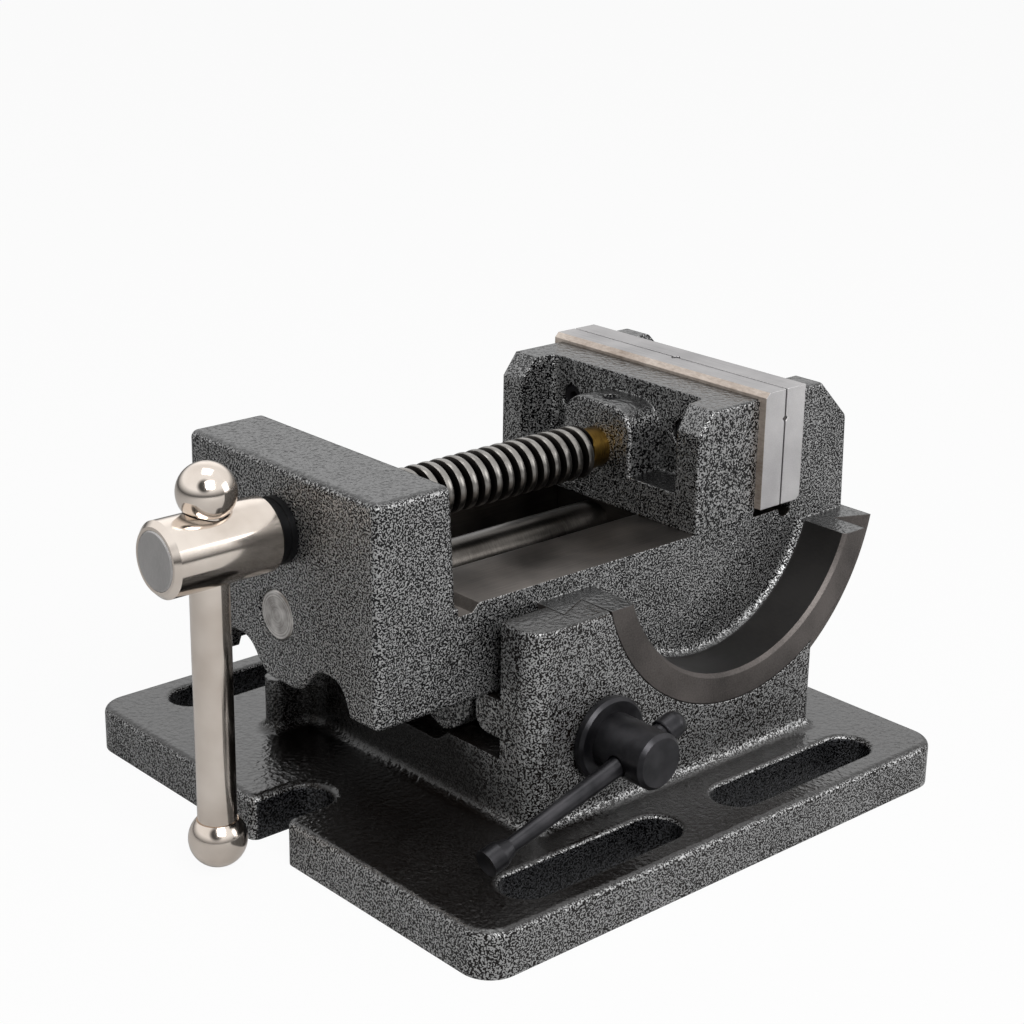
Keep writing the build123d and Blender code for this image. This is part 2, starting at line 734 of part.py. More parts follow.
def movable_jaw_plate():
    """Builds the movable jaw's plate with its broken top edge."""
    grip_x = jaw_front_x + movable_plate_thickness
    plate, back_x, top = jaw_plate(jaw_front_x, movable_plate_thickness, grip_x,
                                   plate_screw_height)
    edge = edges_at(plate, lambda point: near(point.X, back_x) and near(point.Z, top))
    return chamfer(edge, plate_top_chamfer)


def fixed_jaw_plate():
    """Builds the fixed jaw's plate with its broken lower back edge."""
    rear_x = fixed_seat_x - fixed_plate_thickness
    plate, back_x, top = jaw_plate(rear_x, fixed_plate_thickness, rear_x, fixed_screw_height)
    edge = edges_at(plate, lambda point: near(point.X, back_x) and near(point.Z, plate_bottom_z))
    return chamfer(edge, plate_back_chamfer)


def socket_screw_x(seat_x, tip_x, head_length, y, z):
    """Builds a socket head screw along X with its head behind the seat."""
    out = -1 if tip_x > seat_x else 1
    head_x = seat_x + out * head_length
    screw = rod_x(plate_screw_radius, min(seat_x, tip_x), max(seat_x, tip_x), y, z)
    screw += rod_x(plate_screw_head_radius, min(seat_x, head_x), max(seat_x, head_x), y, z)
    socket_x = head_x - out * hex_socket_depth
    socket = extrude(RegularPolygon(hex_socket_size / 2, 6, major_radius=False),
                     amount=hex_socket_depth + overrun)
    turn = Rot(0, 90, 0) if out > 0 else Rot(0, -90, 0)
    return screw - Pos(socket_x, y, z) * turn * socket


def movable_plate_screws():
    """Builds the two screws of the movable jaw's plate."""
    z = plate_bottom_z + plate_screw_height
    tip_x = jaw_front_x + plate_screw_grip - plate_groove_depth
    return [socket_screw_x(movable_screw_seat_x, tip_x, plate_screw_head_length, y, z)
            for y in screw_rows]


def fixed_plate_screws():
    """Builds the two screws of the fixed jaw's plate."""
    z = plate_bottom_z + fixed_screw_height
    tip_x = fixed_seat_x - plate_screw_grip + plate_groove_depth
    return [socket_screw_x(fixed_screw_seat_x, tip_x, plate_screw_head_length, y, z)
            for y in screw_rows]


def lead_screw():
    """Builds the lead screw at its crest diameter, with its plain end."""
    end_x = hub_rear_x - screw_end_proud
    screw = rod_x(screw_radius, end_x, screw_thread_end_x, 0, screw_z)
    screw = chamfer(edges_at(screw, lambda point: near(point.X, end_x)), screw_end_chamfer)
    rims = edges_at(screw, lambda point: near(point.X, screw_thread_end_x))
    screw = chamfer(rims, screw_radius - bush_radius)
    screw += rod_x(journal_radius, screw_thread_end_x, journal_end_x, 0, screw_z)
    groove_x = jaw_rear_x + retaining_screw_inset
    groove = rod_x(journal_radius + overrun, groove_x - journal_groove_width / 2,
                   groove_x + journal_groove_width / 2, 0, screw_z)
    groove -= rod_x(journal_groove_radius, groove_x - journal_groove_width,
                    groove_x + journal_groove_width, 0, screw_z)
    screw -= groove
    reach = hub_radius + overrun
    return screw - rod_z(handle_radius + handle_hole_gap, screw_z - reach, screw_z + reach,
                         handle_x, 0)


def screw_hub():
    """Builds the sleeve on the screw's end, with seats for the handle's balls."""
    hub = rod_x(hub_radius, hub_rear_x, hub_rear_x + hub_length, 0, screw_z)
    rims = edges_at(hub, lambda point: near(point.X, hub_rear_x) or near(point.X, collar_rear_x))
    hub = chamfer(rims, hub_edge_chamfer)
    hub -= rod_x(screw_radius + press_gap, hub_rear_x - overrun, collar_rear_x + overrun,
                 0, screw_z)
    reach = hub_radius + overrun
    hub -= rod_z(handle_radius + handle_hole_gap, screw_z - reach, screw_z + reach, handle_x, 0)
    for side in (-1, 1):
        hub -= Pos(handle_x, 0, screw_z + side * handle_ball_lift) * Sphere(
            handle_ball_radius + curved_gap)
    return hub


def screw_collar():
    """Builds the black collar between the hub and the head."""
    collar_front_x = collar_rear_x + collar_length
    collar = rod_x(collar_neck_radius, collar_rear_x, collar_front_x, 0, screw_z)
    collar += rod_x(collar_radius, collar_front_x - collar_flange_length, collar_front_x,
                    0, screw_z)
    return collar - rod_x(screw_radius + press_gap, collar_rear_x - overrun,
                          collar_front_x + overrun, 0, screw_z)


def screw_bush():
    """Builds the bronze bush that carries the screw's end in the jaw."""
    end_x = jaw_rear_x + bush_seat_length - press_gap
    bush = rod_x(bush_radius, jaw_rear_x - bush_proud, end_x, 0, screw_z)
    bush -= rod_x(journal_radius + running_gap, jaw_rear_x - bush_proud - overrun,
                  end_x + overrun, 0, screw_z)
    return bush - rod_z(retaining_screw_radius + press_gap, screw_z,
                        screw_z + bush_radius + overrun, jaw_rear_x + retaining_screw_inset, 0)


def retaining_screw():
    """Builds the set screw that keeps the lead screw's end in the jaw."""
    top = pocket_floor_z + jaw_boss_height - retaining_screw_sink
    x = jaw_rear_x + retaining_screw_inset
    screw = rod_z(retaining_screw_radius, screw_z + journal_groove_radius + running_gap, top, x, 0)
    socket = extrude(RegularPolygon(retaining_screw_radius / 2, 6, major_radius=False),
                     amount=hex_socket_depth + overrun)
    return screw - Pos(x, 0, top - hex_socket_depth) * socket


def handle_bar():
    """Builds the plain bar that slides in the hub."""
    return rod_z(handle_radius, lower_ball_z - handle_end_inset,
                 upper_ball_z + handle_end_inset, handle_x, 0)


def handle_ball(z, inward):
    """Builds a ball with the blind hole that the bar's end sits in."""
    ball = Pos(handle_x, 0, z) * Sphere(handle_ball_radius)
    hole_end = z - inward * handle_end_inset
    mouth = z + inward * (handle_ball_radius + overrun)
    return ball - rod_z(handle_radius + press_gap, min(hole_end, mouth), max(hole_end, mouth),
                        handle_x, 0)


def guide_rod():
    """Builds the rod that keeps the movable jaw straight."""
    rod = rod_x(rod_radius, body_rear_x + rod_face_recess / 2, rod_end_x, guide_y, guide_z)
    rims = edges_at(rod, lambda point: near(point.X, body_rear_x + rod_face_recess / 2))
    return chamfer(rims, rod_face_recess)


def keeper_plate():
    """Builds the plate that holds the movable jaw down on the ways."""
    plate = block(lug_rear_x, lug_front_x, -keeper_half, keeper_half, keeper_bottom_z,
                  keeper_top_z)
    for y in (-keeper_bolt_spread / 2, keeper_bolt_spread / 2):
        plate -= rod_z(keeper_bolt_radius + bolt_gap, keeper_bottom_z - overrun,
                       keeper_top_z + overrun, (lug_rear_x + lug_front_x) / 2, y)
    return plate


def keeper_bolts():
    """Builds the two bolts that fasten the keeper plate to the jaw's lug."""
    bolts = []
    x = (lug_rear_x + lug_front_x) / 2
    for y in (-keeper_bolt_spread / 2, keeper_bolt_spread / 2):
        bolt = rod_z(keeper_bolt_radius, keeper_bottom_z, keeper_bottom_z + keeper_bolt_length, x, y)
        bolt += rod_z(keeper_bolt_head_radius, keeper_bottom_z - keeper_bolt_head_length,
                      keeper_bottom_z, x, y)
        bolts.append(bolt)
    return bolts


def lock_bar_frame():
    """Returns the place of the lock bar: its X runs along the bar, long end first."""
    return Pos(lock_x, lock_bar_y, lock_z) * Rot(0, 180 - lock_bar_tilt, 0)


def lock_screw():
    """Builds the cross screw: hub, shank and the hole for its bar."""
    hub = rod_y(lock_hub_radius, lock_hub_y - lock_hub_length, lock_hub_y, lock_x, lock_z)
    rims = edges_at(hub, lambda point: near(point.Y, lock_hub_y - lock_hub_length))
    screw = chamfer(rims, lock_hub_chamfer)
    screw += rod_y(lock_shank_radius, lock_hub_y,
                   cradle_half + lock_nut_length + lock_shank_proud, lock_x, lock_z)
    hole = rod_x(lock_bar_thick_radius + handle_hole_gap, -lock_hub_radius - overrun,
                 lock_hub_radius + overrun, 0, 0)
    return screw - lock_bar_frame() * hole


def lock_washer():
    """Builds the washer under the cross screw's hub."""
    washer = rod_y(lock_washer_radius, lock_hub_y, lock_washer_y, lock_x, lock_z)
    rims = edges_at(washer, lambda point: near(point.Y, lock_hub_y))
    washer = chamfer(rims, lock_washer_chamfer)
    return washer - rod_y(lock_shank_radius + running_gap, lock_hub_y - overrun,
                          lock_washer_y + overrun, lock_x, lock_z)


def lock_nut():
    """Builds the hexagon nut on the far cheek."""
    nut = extrude(RegularPolygon(lock_nut_size / 2, 6, major_radius=False),
                  amount=lock_nut_length)
    nut = Pos(lock_x, cradle_half, lock_z) * Rot(-90, 0, 0) * nut
    return nut - rod_y(lock_shank_radius + running_gap, cradle_half - overrun,
                       cradle_half + lock_nut_length + overrun, lock_x, lock_z)


def lock_bar():
    """Builds the tapered bar, thin towards its long end."""
    long_end = lock_bar_long_reach - lock_cap_length + lock_cap_seat
    short_end = lock_bar_short_reach + lock_cap_seat
    length = long_end + short_end
    cone = Cone(lock_bar_thick_radius, lock_bar_thin_radius, length)
    return lock_bar_frame() * Pos((long_end - short_end) / 2, 0, 0) * Rot(0, 90, 0) * cone


def lock_cap(start, out):
    """Builds an end cap of the lock bar; out is 1 at the long end, -1 at the short one."""
    bar_radius = max(lock_bar_radius_at(start), lock_bar_radius_at(start + out * lock_cap_seat))
    lip = bar_radius + lock_cap_lip
    dish = lock_cap_radius * lock_cap_radius / (2 * lock_cap_dish)
    outline = Polyline((0, 0), (0, lip), (lock_cap_shoulder, lock_cap_radius),
                       (lock_cap_length, lock_cap_radius), (lock_cap_length, 0), close=True)
    cap = revolve(make_face(outline), axis=Axis.X)
    cap -= rod_x(bar_radius + press_gap, -overrun, lock_cap_seat, 0, 0)
    cap -= Pos(lock_cap_length + dish - lock_cap_dish, 0, 0) * Sphere(dish)
    turn = Rot(0, 0, 0) if out > 0 else Rot(0, 0, 180)
    return lock_bar_frame() * Pos(start, 0, 0) * turn * cap


def lock_bar_radius_at(reach):
    """Gives the tapered bar's radius at a place along it."""
    long_end = lock_bar_long_reach - lock_cap_length + lock_cap_seat
    short_end = -lock_bar_short_reach - lock_cap_seat
    share = (reach - short_end) / (long_end - short_end)
    return lock_bar_thick_radius + share * (lock_bar_thin_radius - lock_bar_thick_radius)


def lock_caps():
    """Builds the caps at the bar's long and short ends."""
    return lock_cap(lock_bar_long_reach - lock_cap_length, 1), lock_cap(-lock_bar_short_reach, -1)


def write_parts():
    """Builds every piece and writes one file for each."""
    long_cap, short_cap = lock_caps()
    pieces = {
        "base_casting": base_casting(),
        "vise_body": vise_body(),
        "movable_jaw": movable_jaw(),
        "movable_jaw_plate": movable_jaw_plate(),
        "fixed_jaw_plate": fixed_jaw_plate(),
        "movable_plate_screws": Compound(movable_plate_screws()),
        "fixed_plate_screws": Compound(fixed_plate_screws()),
        "lead_screw": lead_screw(),
        "screw_hub": screw_hub(),
        "screw_collar": screw_collar(),
        "screw_bush": screw_bush(),
        "retaining_screw": retaining_screw(),
        "handle_bar": handle_bar(),
        "upper_handle_ball": handle_ball(upper_ball_z, -1),
        "lower_handle_ball": handle_ball(lower_ball_z, 1),
        "guide_rod": guide_rod(),
        "keeper_plate": keeper_plate(),
        "keeper_bolts": Compound(keeper_bolts()),
        "lock_screw": lock_screw(),
        "lock_washer": lock_washer(),
        "lock_nut": lock_nut(),
        "lock_bar": lock_bar(),
        "lock_bar_long_cap": long_cap,
        "lock_bar_short_cap": short_cap,
    }
    os.makedirs("parts", exist_ok=True)
    for name, shape in pieces.items():
        export_step(shape, f"parts/{name}.step")


write_parts()
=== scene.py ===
"""Dresses a tilting drill press vise: finishes, thread, fine turned forms, light and camera."""

import json
import logging
import math
from collections.abc import Callable, Sequence
from dataclasses import dataclass
from enum import Enum

import bmesh
import bpy
from mathutils import Matrix, Vector


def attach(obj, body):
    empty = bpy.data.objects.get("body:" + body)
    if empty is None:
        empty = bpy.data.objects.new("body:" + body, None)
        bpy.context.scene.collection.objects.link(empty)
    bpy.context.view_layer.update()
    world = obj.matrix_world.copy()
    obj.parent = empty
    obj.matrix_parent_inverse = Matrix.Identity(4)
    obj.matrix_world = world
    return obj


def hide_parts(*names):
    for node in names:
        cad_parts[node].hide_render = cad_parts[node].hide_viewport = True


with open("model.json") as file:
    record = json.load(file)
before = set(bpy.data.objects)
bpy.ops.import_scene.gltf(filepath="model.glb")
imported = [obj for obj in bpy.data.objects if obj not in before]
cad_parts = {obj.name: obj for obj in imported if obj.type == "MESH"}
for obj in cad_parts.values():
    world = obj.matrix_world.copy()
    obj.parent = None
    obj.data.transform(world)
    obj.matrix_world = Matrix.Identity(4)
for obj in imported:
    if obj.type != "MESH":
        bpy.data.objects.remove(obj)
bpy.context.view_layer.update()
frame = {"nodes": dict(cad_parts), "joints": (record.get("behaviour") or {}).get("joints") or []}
LOG = logging.getLogger("vise")

MM = 0.001
# A face this close to a plane lies on it, and points this close together are one.
NEAR_MM = 0.05
WELD_MM = 0.002
# Cosines between a face's normal and a direction: the face leans that way, or looks along it.
LEANS = 0.3
LOOKS = 0.9

Place = tuple[float, float, float]
Colour = tuple[float, float, float, float]
Socket = bpy.types.NodeSocket
Tree = bpy.types.NodeTree


def joint_mm(name: str) -> Place:
    """Finds where a joint's axis passes.

    Args:
        name: The joint's name in the frame.

    Returns:
        A point on the axis, in millimetres.
    """
    joint = next(entry for entry in frame["joints"] if entry["name"] == name)
    return tuple(along / MM for along in joint["pos_m"])


TILT_MM = joint_mm("body_tilt")
SCREW_MM = joint_mm("screw_turn")
LOCK_MM = joint_mm("lock_turn")
# The handle bar's place along the lead screw.
HANDLE_X_MM = -118.6


def srgb(text: str) -> Colour:
    """Turns an sRGB hex colour into linear values, with the sRGB standard's own constants.

    Args:
        text: The colour as "#rrggbb".

    Returns:
        Linear red, green, blue and an alpha of 1.
    """
    parts = [int(text[i:i + 2], 16) / 255 for i in (1, 3, 5)]
    linear = [c / 12.92 if c <= 0.04045 else ((c + 0.055) / 1.055) ** 2.4 for c in parts]
    return (*linear, 1.0)


def grey(value: float) -> Colour:
    """Returns a linear grey of a given value."""
    return (value, value, value, 1.0)


def add_node(tree: Tree, kind: str, props: dict | None = None, values: dict | None = None,
             links: dict[str | int, Socket] | None = None,
             stops: Sequence[tuple[float, Colour]] = ()) -> bpy.types.Node:
    """Adds a shader node with its settings and links.

    Args:
        tree: The node tree that gets the node.
        kind: The node's type name, without "ShaderNode".
        props: Settings of the node itself.
        values: Values of its unlinked inputs, by name, or by number where names repeat.
        links: The outputs that feed its inputs, by name or number.
        stops: Places and colours of a colour ramp, in order.

    Returns:
        The new node.
    """
    node = tree.nodes.new("ShaderNode" + kind)
    for name, value in (props or {}).items():
        setattr(node, name, value)
    for name, value in (values or {}).items():
        node.inputs[name].default_value = value
    for name, source in (links or {}).items():
        tree.links.new(source, node.inputs[name])
    for number, (place, colour) in enumerate(stops):
        elements = node.color_ramp.elements
        element = elements[number] if number < len(elements) else elements.new(place)
        element.position = place
        element.color = colour
    return node


def blank_material(name: str) -> tuple[bpy.types.Material, Tree]:
    """Makes an empty node material.

    Args:
        name: The material's name.

    Returns:
        The material and its node tree.
    """
    material = bpy.data.materials.new(name)
    material.use_nodes = True
    material.node_tree.nodes.clear()
    return material, material.node_tree


def finish_material(tree: Tree, values: dict, links: dict[str | int, Socket]) -> None:
    """Adds the surface shader and the output.

    Args:
        tree: The material's node tree.
        values: Constant inputs of the surface shader.
        links: The outputs that feed the surface shader.
    """
    surface = add_node(tree, "BsdfPrincipled", values=values, links=links)
    add_node(tree, "OutputMaterial", links={"Surface": surface.outputs["BSDF"]})


@dataclass(frozen=True)
class PaintedPitShade:
    """Painted shade round the pit under the head: a brown-black film that hides most of the flakes.
    """

    centre_mm: Place
    reach_mm: Place
    film: str = "#0d0907"
    hides: float = 0.93
    # Shares of the reach between which the flakes come back.
    rim_from: float = 0.6
    rim_to: float = 1.1

    def flakes_left(self, tree: Tree, place: Socket) -> Socket:
        """Builds the share of the flakes that the painted shade leaves in sight.

        Args:
            tree: The material's node tree.
            place: Object coordinates.

        Returns:
            The share, which rises to 1 across the rim of the shaded pit.
        """
        scale = [1 / (reach * MM) for reach in self.reach_mm]
        shift = [-centre / reach for centre, reach in zip(self.centre_mm, self.reach_mm)]
        local = add_node(tree, "Mapping", values={"Location": shift, "Scale": scale},
                         links={"Vector": place})
        away = add_node(tree, "VectorMath", {"operation": "LENGTH"},
                        links={0: local.outputs["Vector"]})
        left = add_node(tree, "MapRange", {"interpolation_type": "SMOOTHSTEP"},
                        {"From Min": self.rim_from, "From Max": self.rim_to,
                         "To Min": 1.0 - self.hides, "To Max": 1.0},
                        {"Value": away.outputs["Value"]})
        return left.outputs["Result"]


@dataclass(frozen=True)
class HammeredEnamel:
    """Hammered enamel sprayed on sand-cast iron.

    The eye gets silvery flakes in a near-black gloss film, over the swell of orange peel. On faces
    that look upward the flakes fade as painted shade, and the gloss rises as a painted sheen.
    """

    name: str = "hammered_enamel_sprayed"
    film: str = "#030304"
    film_roughness: float = 0.22
    flake: str = "#adadad"
    flake_roughness: float = 0.4
    flake_metallic: float = 0.8
    flake_mm: float = 0.54
    flake_bend: float = 0.45
    # Noise values between which a flake comes up through the film.
    flake_from: float = 0.56
    flake_full: float = 0.595
    flake_depth_mm: float = 0.05
    # A slow change of the flakes' number over the casting.
    cast_mm: float = 16.0
    cast_share: float = 0.1
    peel_mm: float = 1.7
    peel_depth_mm: float = 0.5
    edge_mm: float = 0.8
    ior: float = 1.6
    # Specular level on the sides and, as a painted sheen, on the tops; the share of the flakes taken
    # off the tops as painted shade.
    side_gloss: float = 0.2
    top_painted_sheen: float = 0.9
    top_painted_shade: float = 0.96
    # Heights of the normal between which a face turns from a side to a top.
    top_from: float = 0.5
    top_full: float = 0.9
    pit_shade: PaintedPitShade | None = None

    def flakes(self, tree: Tree, place: Socket, facing: Socket) -> tuple[Socket, Socket]:
        """Builds the pattern of the flakes, faded as painted shade on faces that look upward.

        Args:
            tree: The material's node tree.
            place: Object coordinates.
            facing: The normal in Object coordinates.

        Returns:
            The flakes' cover from 0 to 1, and how far the face looks sideways.
        """
        grain = add_node(tree, "TexNoise",
                         values={"Scale": 1 / (self.flake_mm * MM), "Detail": 0.0,
                                 "Distortion": self.flake_bend}, links={"Vector": place})
        cast = add_node(tree, "TexNoise", values={"Scale": 1 / (self.cast_mm * MM), "Detail": 2.0},
                        links={"Vector": place})
        level = add_node(tree, "Math", {"operation": "MULTIPLY_ADD"}, {1: self.cast_share},
                         {0: cast.outputs["Fac"], 2: grain.outputs["Fac"]})
        cover = add_node(tree, "MapRange", {},
                         {"From Min": self.flake_from, "From Max": self.flake_full},
                         {"Value": level.outputs["Value"]})
        upward = add_node(tree, "SeparateXYZ", links={"Vector": facing})
        # Painted shade: the flakes fade on faces that look upward.
        sideways = add_node(tree, "MapRange", {},
                            {"From Min": self.top_from, "From Max": self.top_full, "To Min": 1.0,
                             "To Max": 1.0 - self.top_painted_shade}, {"Value": upward.outputs["Z"]})
        seen = add_node(tree, "Math", {"operation": "MULTIPLY"}, {},
                        {0: cover.outputs["Result"], 1: sideways.outputs["Result"]})
        return seen.outputs["Value"], sideways.outputs["Result"]

    def material(self) -> bpy.types.Material:
        """Builds the finish.

        Returns:
            The material, whose flakes and orange peel follow Object coordinates.
        """
        material, tree = blank_material(self.name)
        coords = add_node(tree, "TexCoord")
        place = coords.outputs["Object"]
        cover, sideways = self.flakes(tree, place, coords.outputs["Normal"])
        # Painted shade: round the pit the flakes fade and the film turns brown-black.
        if self.pit_shade:
            left = add_node(tree, "Math", {"operation": "MULTIPLY"}, {},
                            {0: cover, 1: self.pit_shade.flakes_left(tree, place)})
            cover = left.outputs["Value"]
        film = self.pit_shade.film if self.pit_shade else self.film
        colour = add_node(tree, "ValToRGB", links={"Fac": cover},
                          stops=[(0.0, srgb(film)), (1.0, srgb(self.flake))])
        shine = add_node(tree, "Math", {"operation": "MULTIPLY"}, {1: self.flake_metallic},
                         {0: cover})
        rough = add_node(tree, "Math", {"operation": "MULTIPLY_ADD"},
                         {1: self.flake_roughness - self.film_roughness, 2: self.film_roughness},
                         {0: cover})
        # Painted sheen: the specular level rises on faces that look upward.
        gloss = add_node(tree, "MapRange", {},
                         {"To Min": self.top_painted_sheen, "To Max": self.side_gloss},
                         {"Value": sideways})
        peel = add_node(tree, "TexNoise", values={"Scale": 1 / (self.peel_mm * MM), "Detail": 1.5,
                                                  "Distortion": 0.3}, links={"Vector": place})
        round_edges = add_node(tree, "Bevel", {"samples": 6}, {"Radius": self.edge_mm * MM})
        swell = add_node(tree, "Bump", values={"Strength": 1.0, "Distance": self.peel_depth_mm * MM},
                         links={"Height": peel.outputs["Fac"],
                                "Normal": round_edges.outputs["Normal"]})
        raised = add_node(tree, "Bump",
                          values={"Strength": 0.5, "Distance": self.flake_depth_mm * MM},
                          links={"Height": cover, "Normal": swell.outputs["Normal"]})
        finish_material(tree, {"IOR": self.ior},
                        {"Base Color": colour.outputs["Color"], "Metallic": shine.outputs["Value"],
                         "Roughness": rough.outputs["Value"],
                         "Specular IOR Level": gloss.outputs["Result"],
                         "Normal": raised.outputs["Normal"]})
        return material


@dataclass(frozen=True)
class MachinedMetal:
    """Metal cut or ground to size.

    The eye gets fine lines along the cut over a cloudy bare surface. Real lines lie closer than
    the photograph can show, so they are drawn as coarse as they need to be to show.
    """

    name: str
    light: str
    dark: str
    line_mm: float = 0.35
    # The pattern's scale along each axis: a small share draws the lines out along that axis.
    stretch: Place = (1.0, 0.03, 1.0)
    line_share: float = 0.55
    line_depth_mm: float = 0.012
    cloud_mm: float = 22.0
    dark_below: float = 0.55
    light_above: float = 0.98
    roughness: float = 0.36
    roughness_span: float = 0.22
    metallic: float = 1.0
    edge_mm: float = 0.35

    def material(self) -> bpy.types.Material:
        """Builds the finish.

        Returns:
            The material; its lines are noise stretched along the cut.
        """
        material, tree = blank_material(self.name)
        place = add_node(tree, "TexCoord").outputs["Object"]
        scale = [axis / (self.line_mm * MM) for axis in self.stretch]
        cut = add_node(tree, "Mapping", values={"Scale": scale}, links={"Vector": place})
        lines = add_node(tree, "TexNoise", values={"Scale": 1.0, "Detail": 3.0, "Roughness": 0.65},
                         links={"Vector": cut.outputs["Vector"]})
        cloud = add_node(tree, "TexNoise", values={"Scale": 1 / (self.cloud_mm * MM), "Detail": 4.0},
                         links={"Vector": place})
        mixed = add_node(tree, "Math", {"operation": "MULTIPLY_ADD"}, {1: self.line_share},
                         {0: lines.outputs["Fac"], 2: cloud.outputs["Fac"]})
        colour = add_node(tree, "ValToRGB", links={"Fac": mixed.outputs["Value"]},
                          stops=[(self.dark_below, srgb(self.dark)),
                                 (self.light_above, srgb(self.light))])
        rough = add_node(tree, "Math", {"operation": "MULTIPLY_ADD"},
                         {1: self.roughness_span, 2: self.roughness - self.roughness_span / 2},
                         {0: cloud.outputs["Fac"]})
        round_edges = add_node(tree, "Bevel", {"samples": 4}, {"Radius": self.edge_mm * MM})
        bump = add_node(tree, "Bump",
                        values={"Strength": 0.6, "Distance": self.line_depth_mm * MM},
                        links={"Height": lines.outputs["Fac"],
                               "Normal": round_edges.outputs["Normal"]})
        finish_material(tree, {"Metallic": self.metallic},
                        {"Base Color": colour.outputs["Color"],
                         "Roughness": rough.outputs["Value"], "Normal": bump.outputs["Normal"]})
        return material


@dataclass(frozen=True)
class FacedSteel:
    """Steel faced on a lathe: the eye gets fine rings round an axis that runs along X."""

    name: str
    axis_y_mm: float
    axis_z_mm: float
    light: str = "#cfccc9"
    dark: str = "#8f8b88"
    ring_mm: float = 0.45
    ring_share: float = 0.6
    ring_depth_mm: float = 0.02
    cloud_mm: float = 3.85
    dark_below: float = 0.6
    light_above: float = 1.0
    roughness: float = 0.36

    def material(self) -> bpy.types.Material:
        """Builds the finish.

        Returns:
            The material, whose rings follow the distance from the axis.
        """
        material, tree = blank_material(self.name)
        place = add_node(tree, "TexCoord").outputs["Object"]
        centred = add_node(tree, "Mapping",
                           values={"Location": (0, -self.axis_y_mm * MM, -self.axis_z_mm * MM),
                                   "Scale": (0, 1, 1)}, links={"Vector": place})
        radius = add_node(tree, "VectorMath", {"operation": "LENGTH"},
                          links={0: centred.outputs["Vector"]})
        rings = add_node(tree, "TexNoise", {"noise_dimensions": "1D"},
                         {"Scale": 1 / (self.ring_mm * MM), "Detail": 3.0},
                         {"W": radius.outputs["Value"]})
        cloud = add_node(tree, "TexNoise", values={"Scale": 1 / (self.cloud_mm * MM), "Detail": 4.0},
                         links={"Vector": place})
        mixed = add_node(tree, "Math", {"operation": "MULTIPLY_ADD"}, {1: self.ring_share},
                         {0: rings.outputs["Fac"], 2: cloud.outputs["Fac"]})
        colour = add_node(tree, "ValToRGB", links={"Fac": mixed.outputs["Value"]},
                          stops=[(self.dark_below, srgb(self.dark)),
                                 (self.light_above, srgb(self.light))])
        bump = add_node(tree, "Bump",
                        values={"Strength": 0.7, "Distance": self.ring_depth_mm * MM},
                        links={"Height": rings.outputs["Fac"]})
        finish_material(tree, {"Metallic": 1.0, "Roughness": self.roughness},
                        {"Base Color": colour.outputs["Color"], "Normal": bump.outputs["Normal"]})
        return material


@dataclass(frozen=True)
class NickelPlate:
    """Nickel plating over turned steel: bright and faintly warm, with hairline wipe marks."""

    name: str = "nickel_plated_turned"
    clean: str = "#e6dcd2"
    hazy: str = "#cdc1b6"
    hair_mm: float = 0.25
    hair_stretch: float = 0.06
    hair_depth_mm: float = 0.004
    cloud_mm: float = 16.7
    clean_below: float = 0.35
    hazy_above: float = 0.75
    roughness: float = 0.07
    haze_roughness: float = 0.12

    def material(self) -> bpy.types.Material:
        """Builds the finish.

        Returns:
            The material, whose hairlines run square to the lead screw.
        """
        material, tree = blank_material(self.name)
        place = add_node(tree, "TexCoord").outputs["Object"]
        across = 1 / (self.hair_mm * MM)
        along = self.hair_stretch * across
        wiped = add_node(tree, "Mapping", values={"Scale": (across, along, along)},
                         links={"Vector": place})
        hair = add_node(tree, "TexNoise", values={"Scale": 1.0, "Detail": 3.0},
                        links={"Vector": wiped.outputs["Vector"]})
        cloud = add_node(tree, "TexNoise", values={"Scale": 1 / (self.cloud_mm * MM), "Detail": 3.0},
                         links={"Vector": place})
        colour = add_node(tree, "ValToRGB", links={"Fac": cloud.outputs["Fac"]},
                          stops=[(self.clean_below, srgb(self.clean)),
                                 (self.hazy_above, srgb(self.hazy))])
        rough = add_node(tree, "Math", {"operation": "MULTIPLY_ADD"},
                         {1: self.haze_roughness, 2: self.roughness}, {0: cloud.outputs["Fac"]})
        bump = add_node(tree, "Bump",
                        values={"Strength": 0.25, "Distance": self.hair_depth_mm * MM},
                        links={"Height": hair.outputs["Fac"]})
        finish_material(tree, {"Metallic": 1.0},
                        {"Base Color": colour.outputs["Color"],
                         "Roughness": rough.outputs["Value"], "Normal": bump.outputs["Normal"]})
        return material


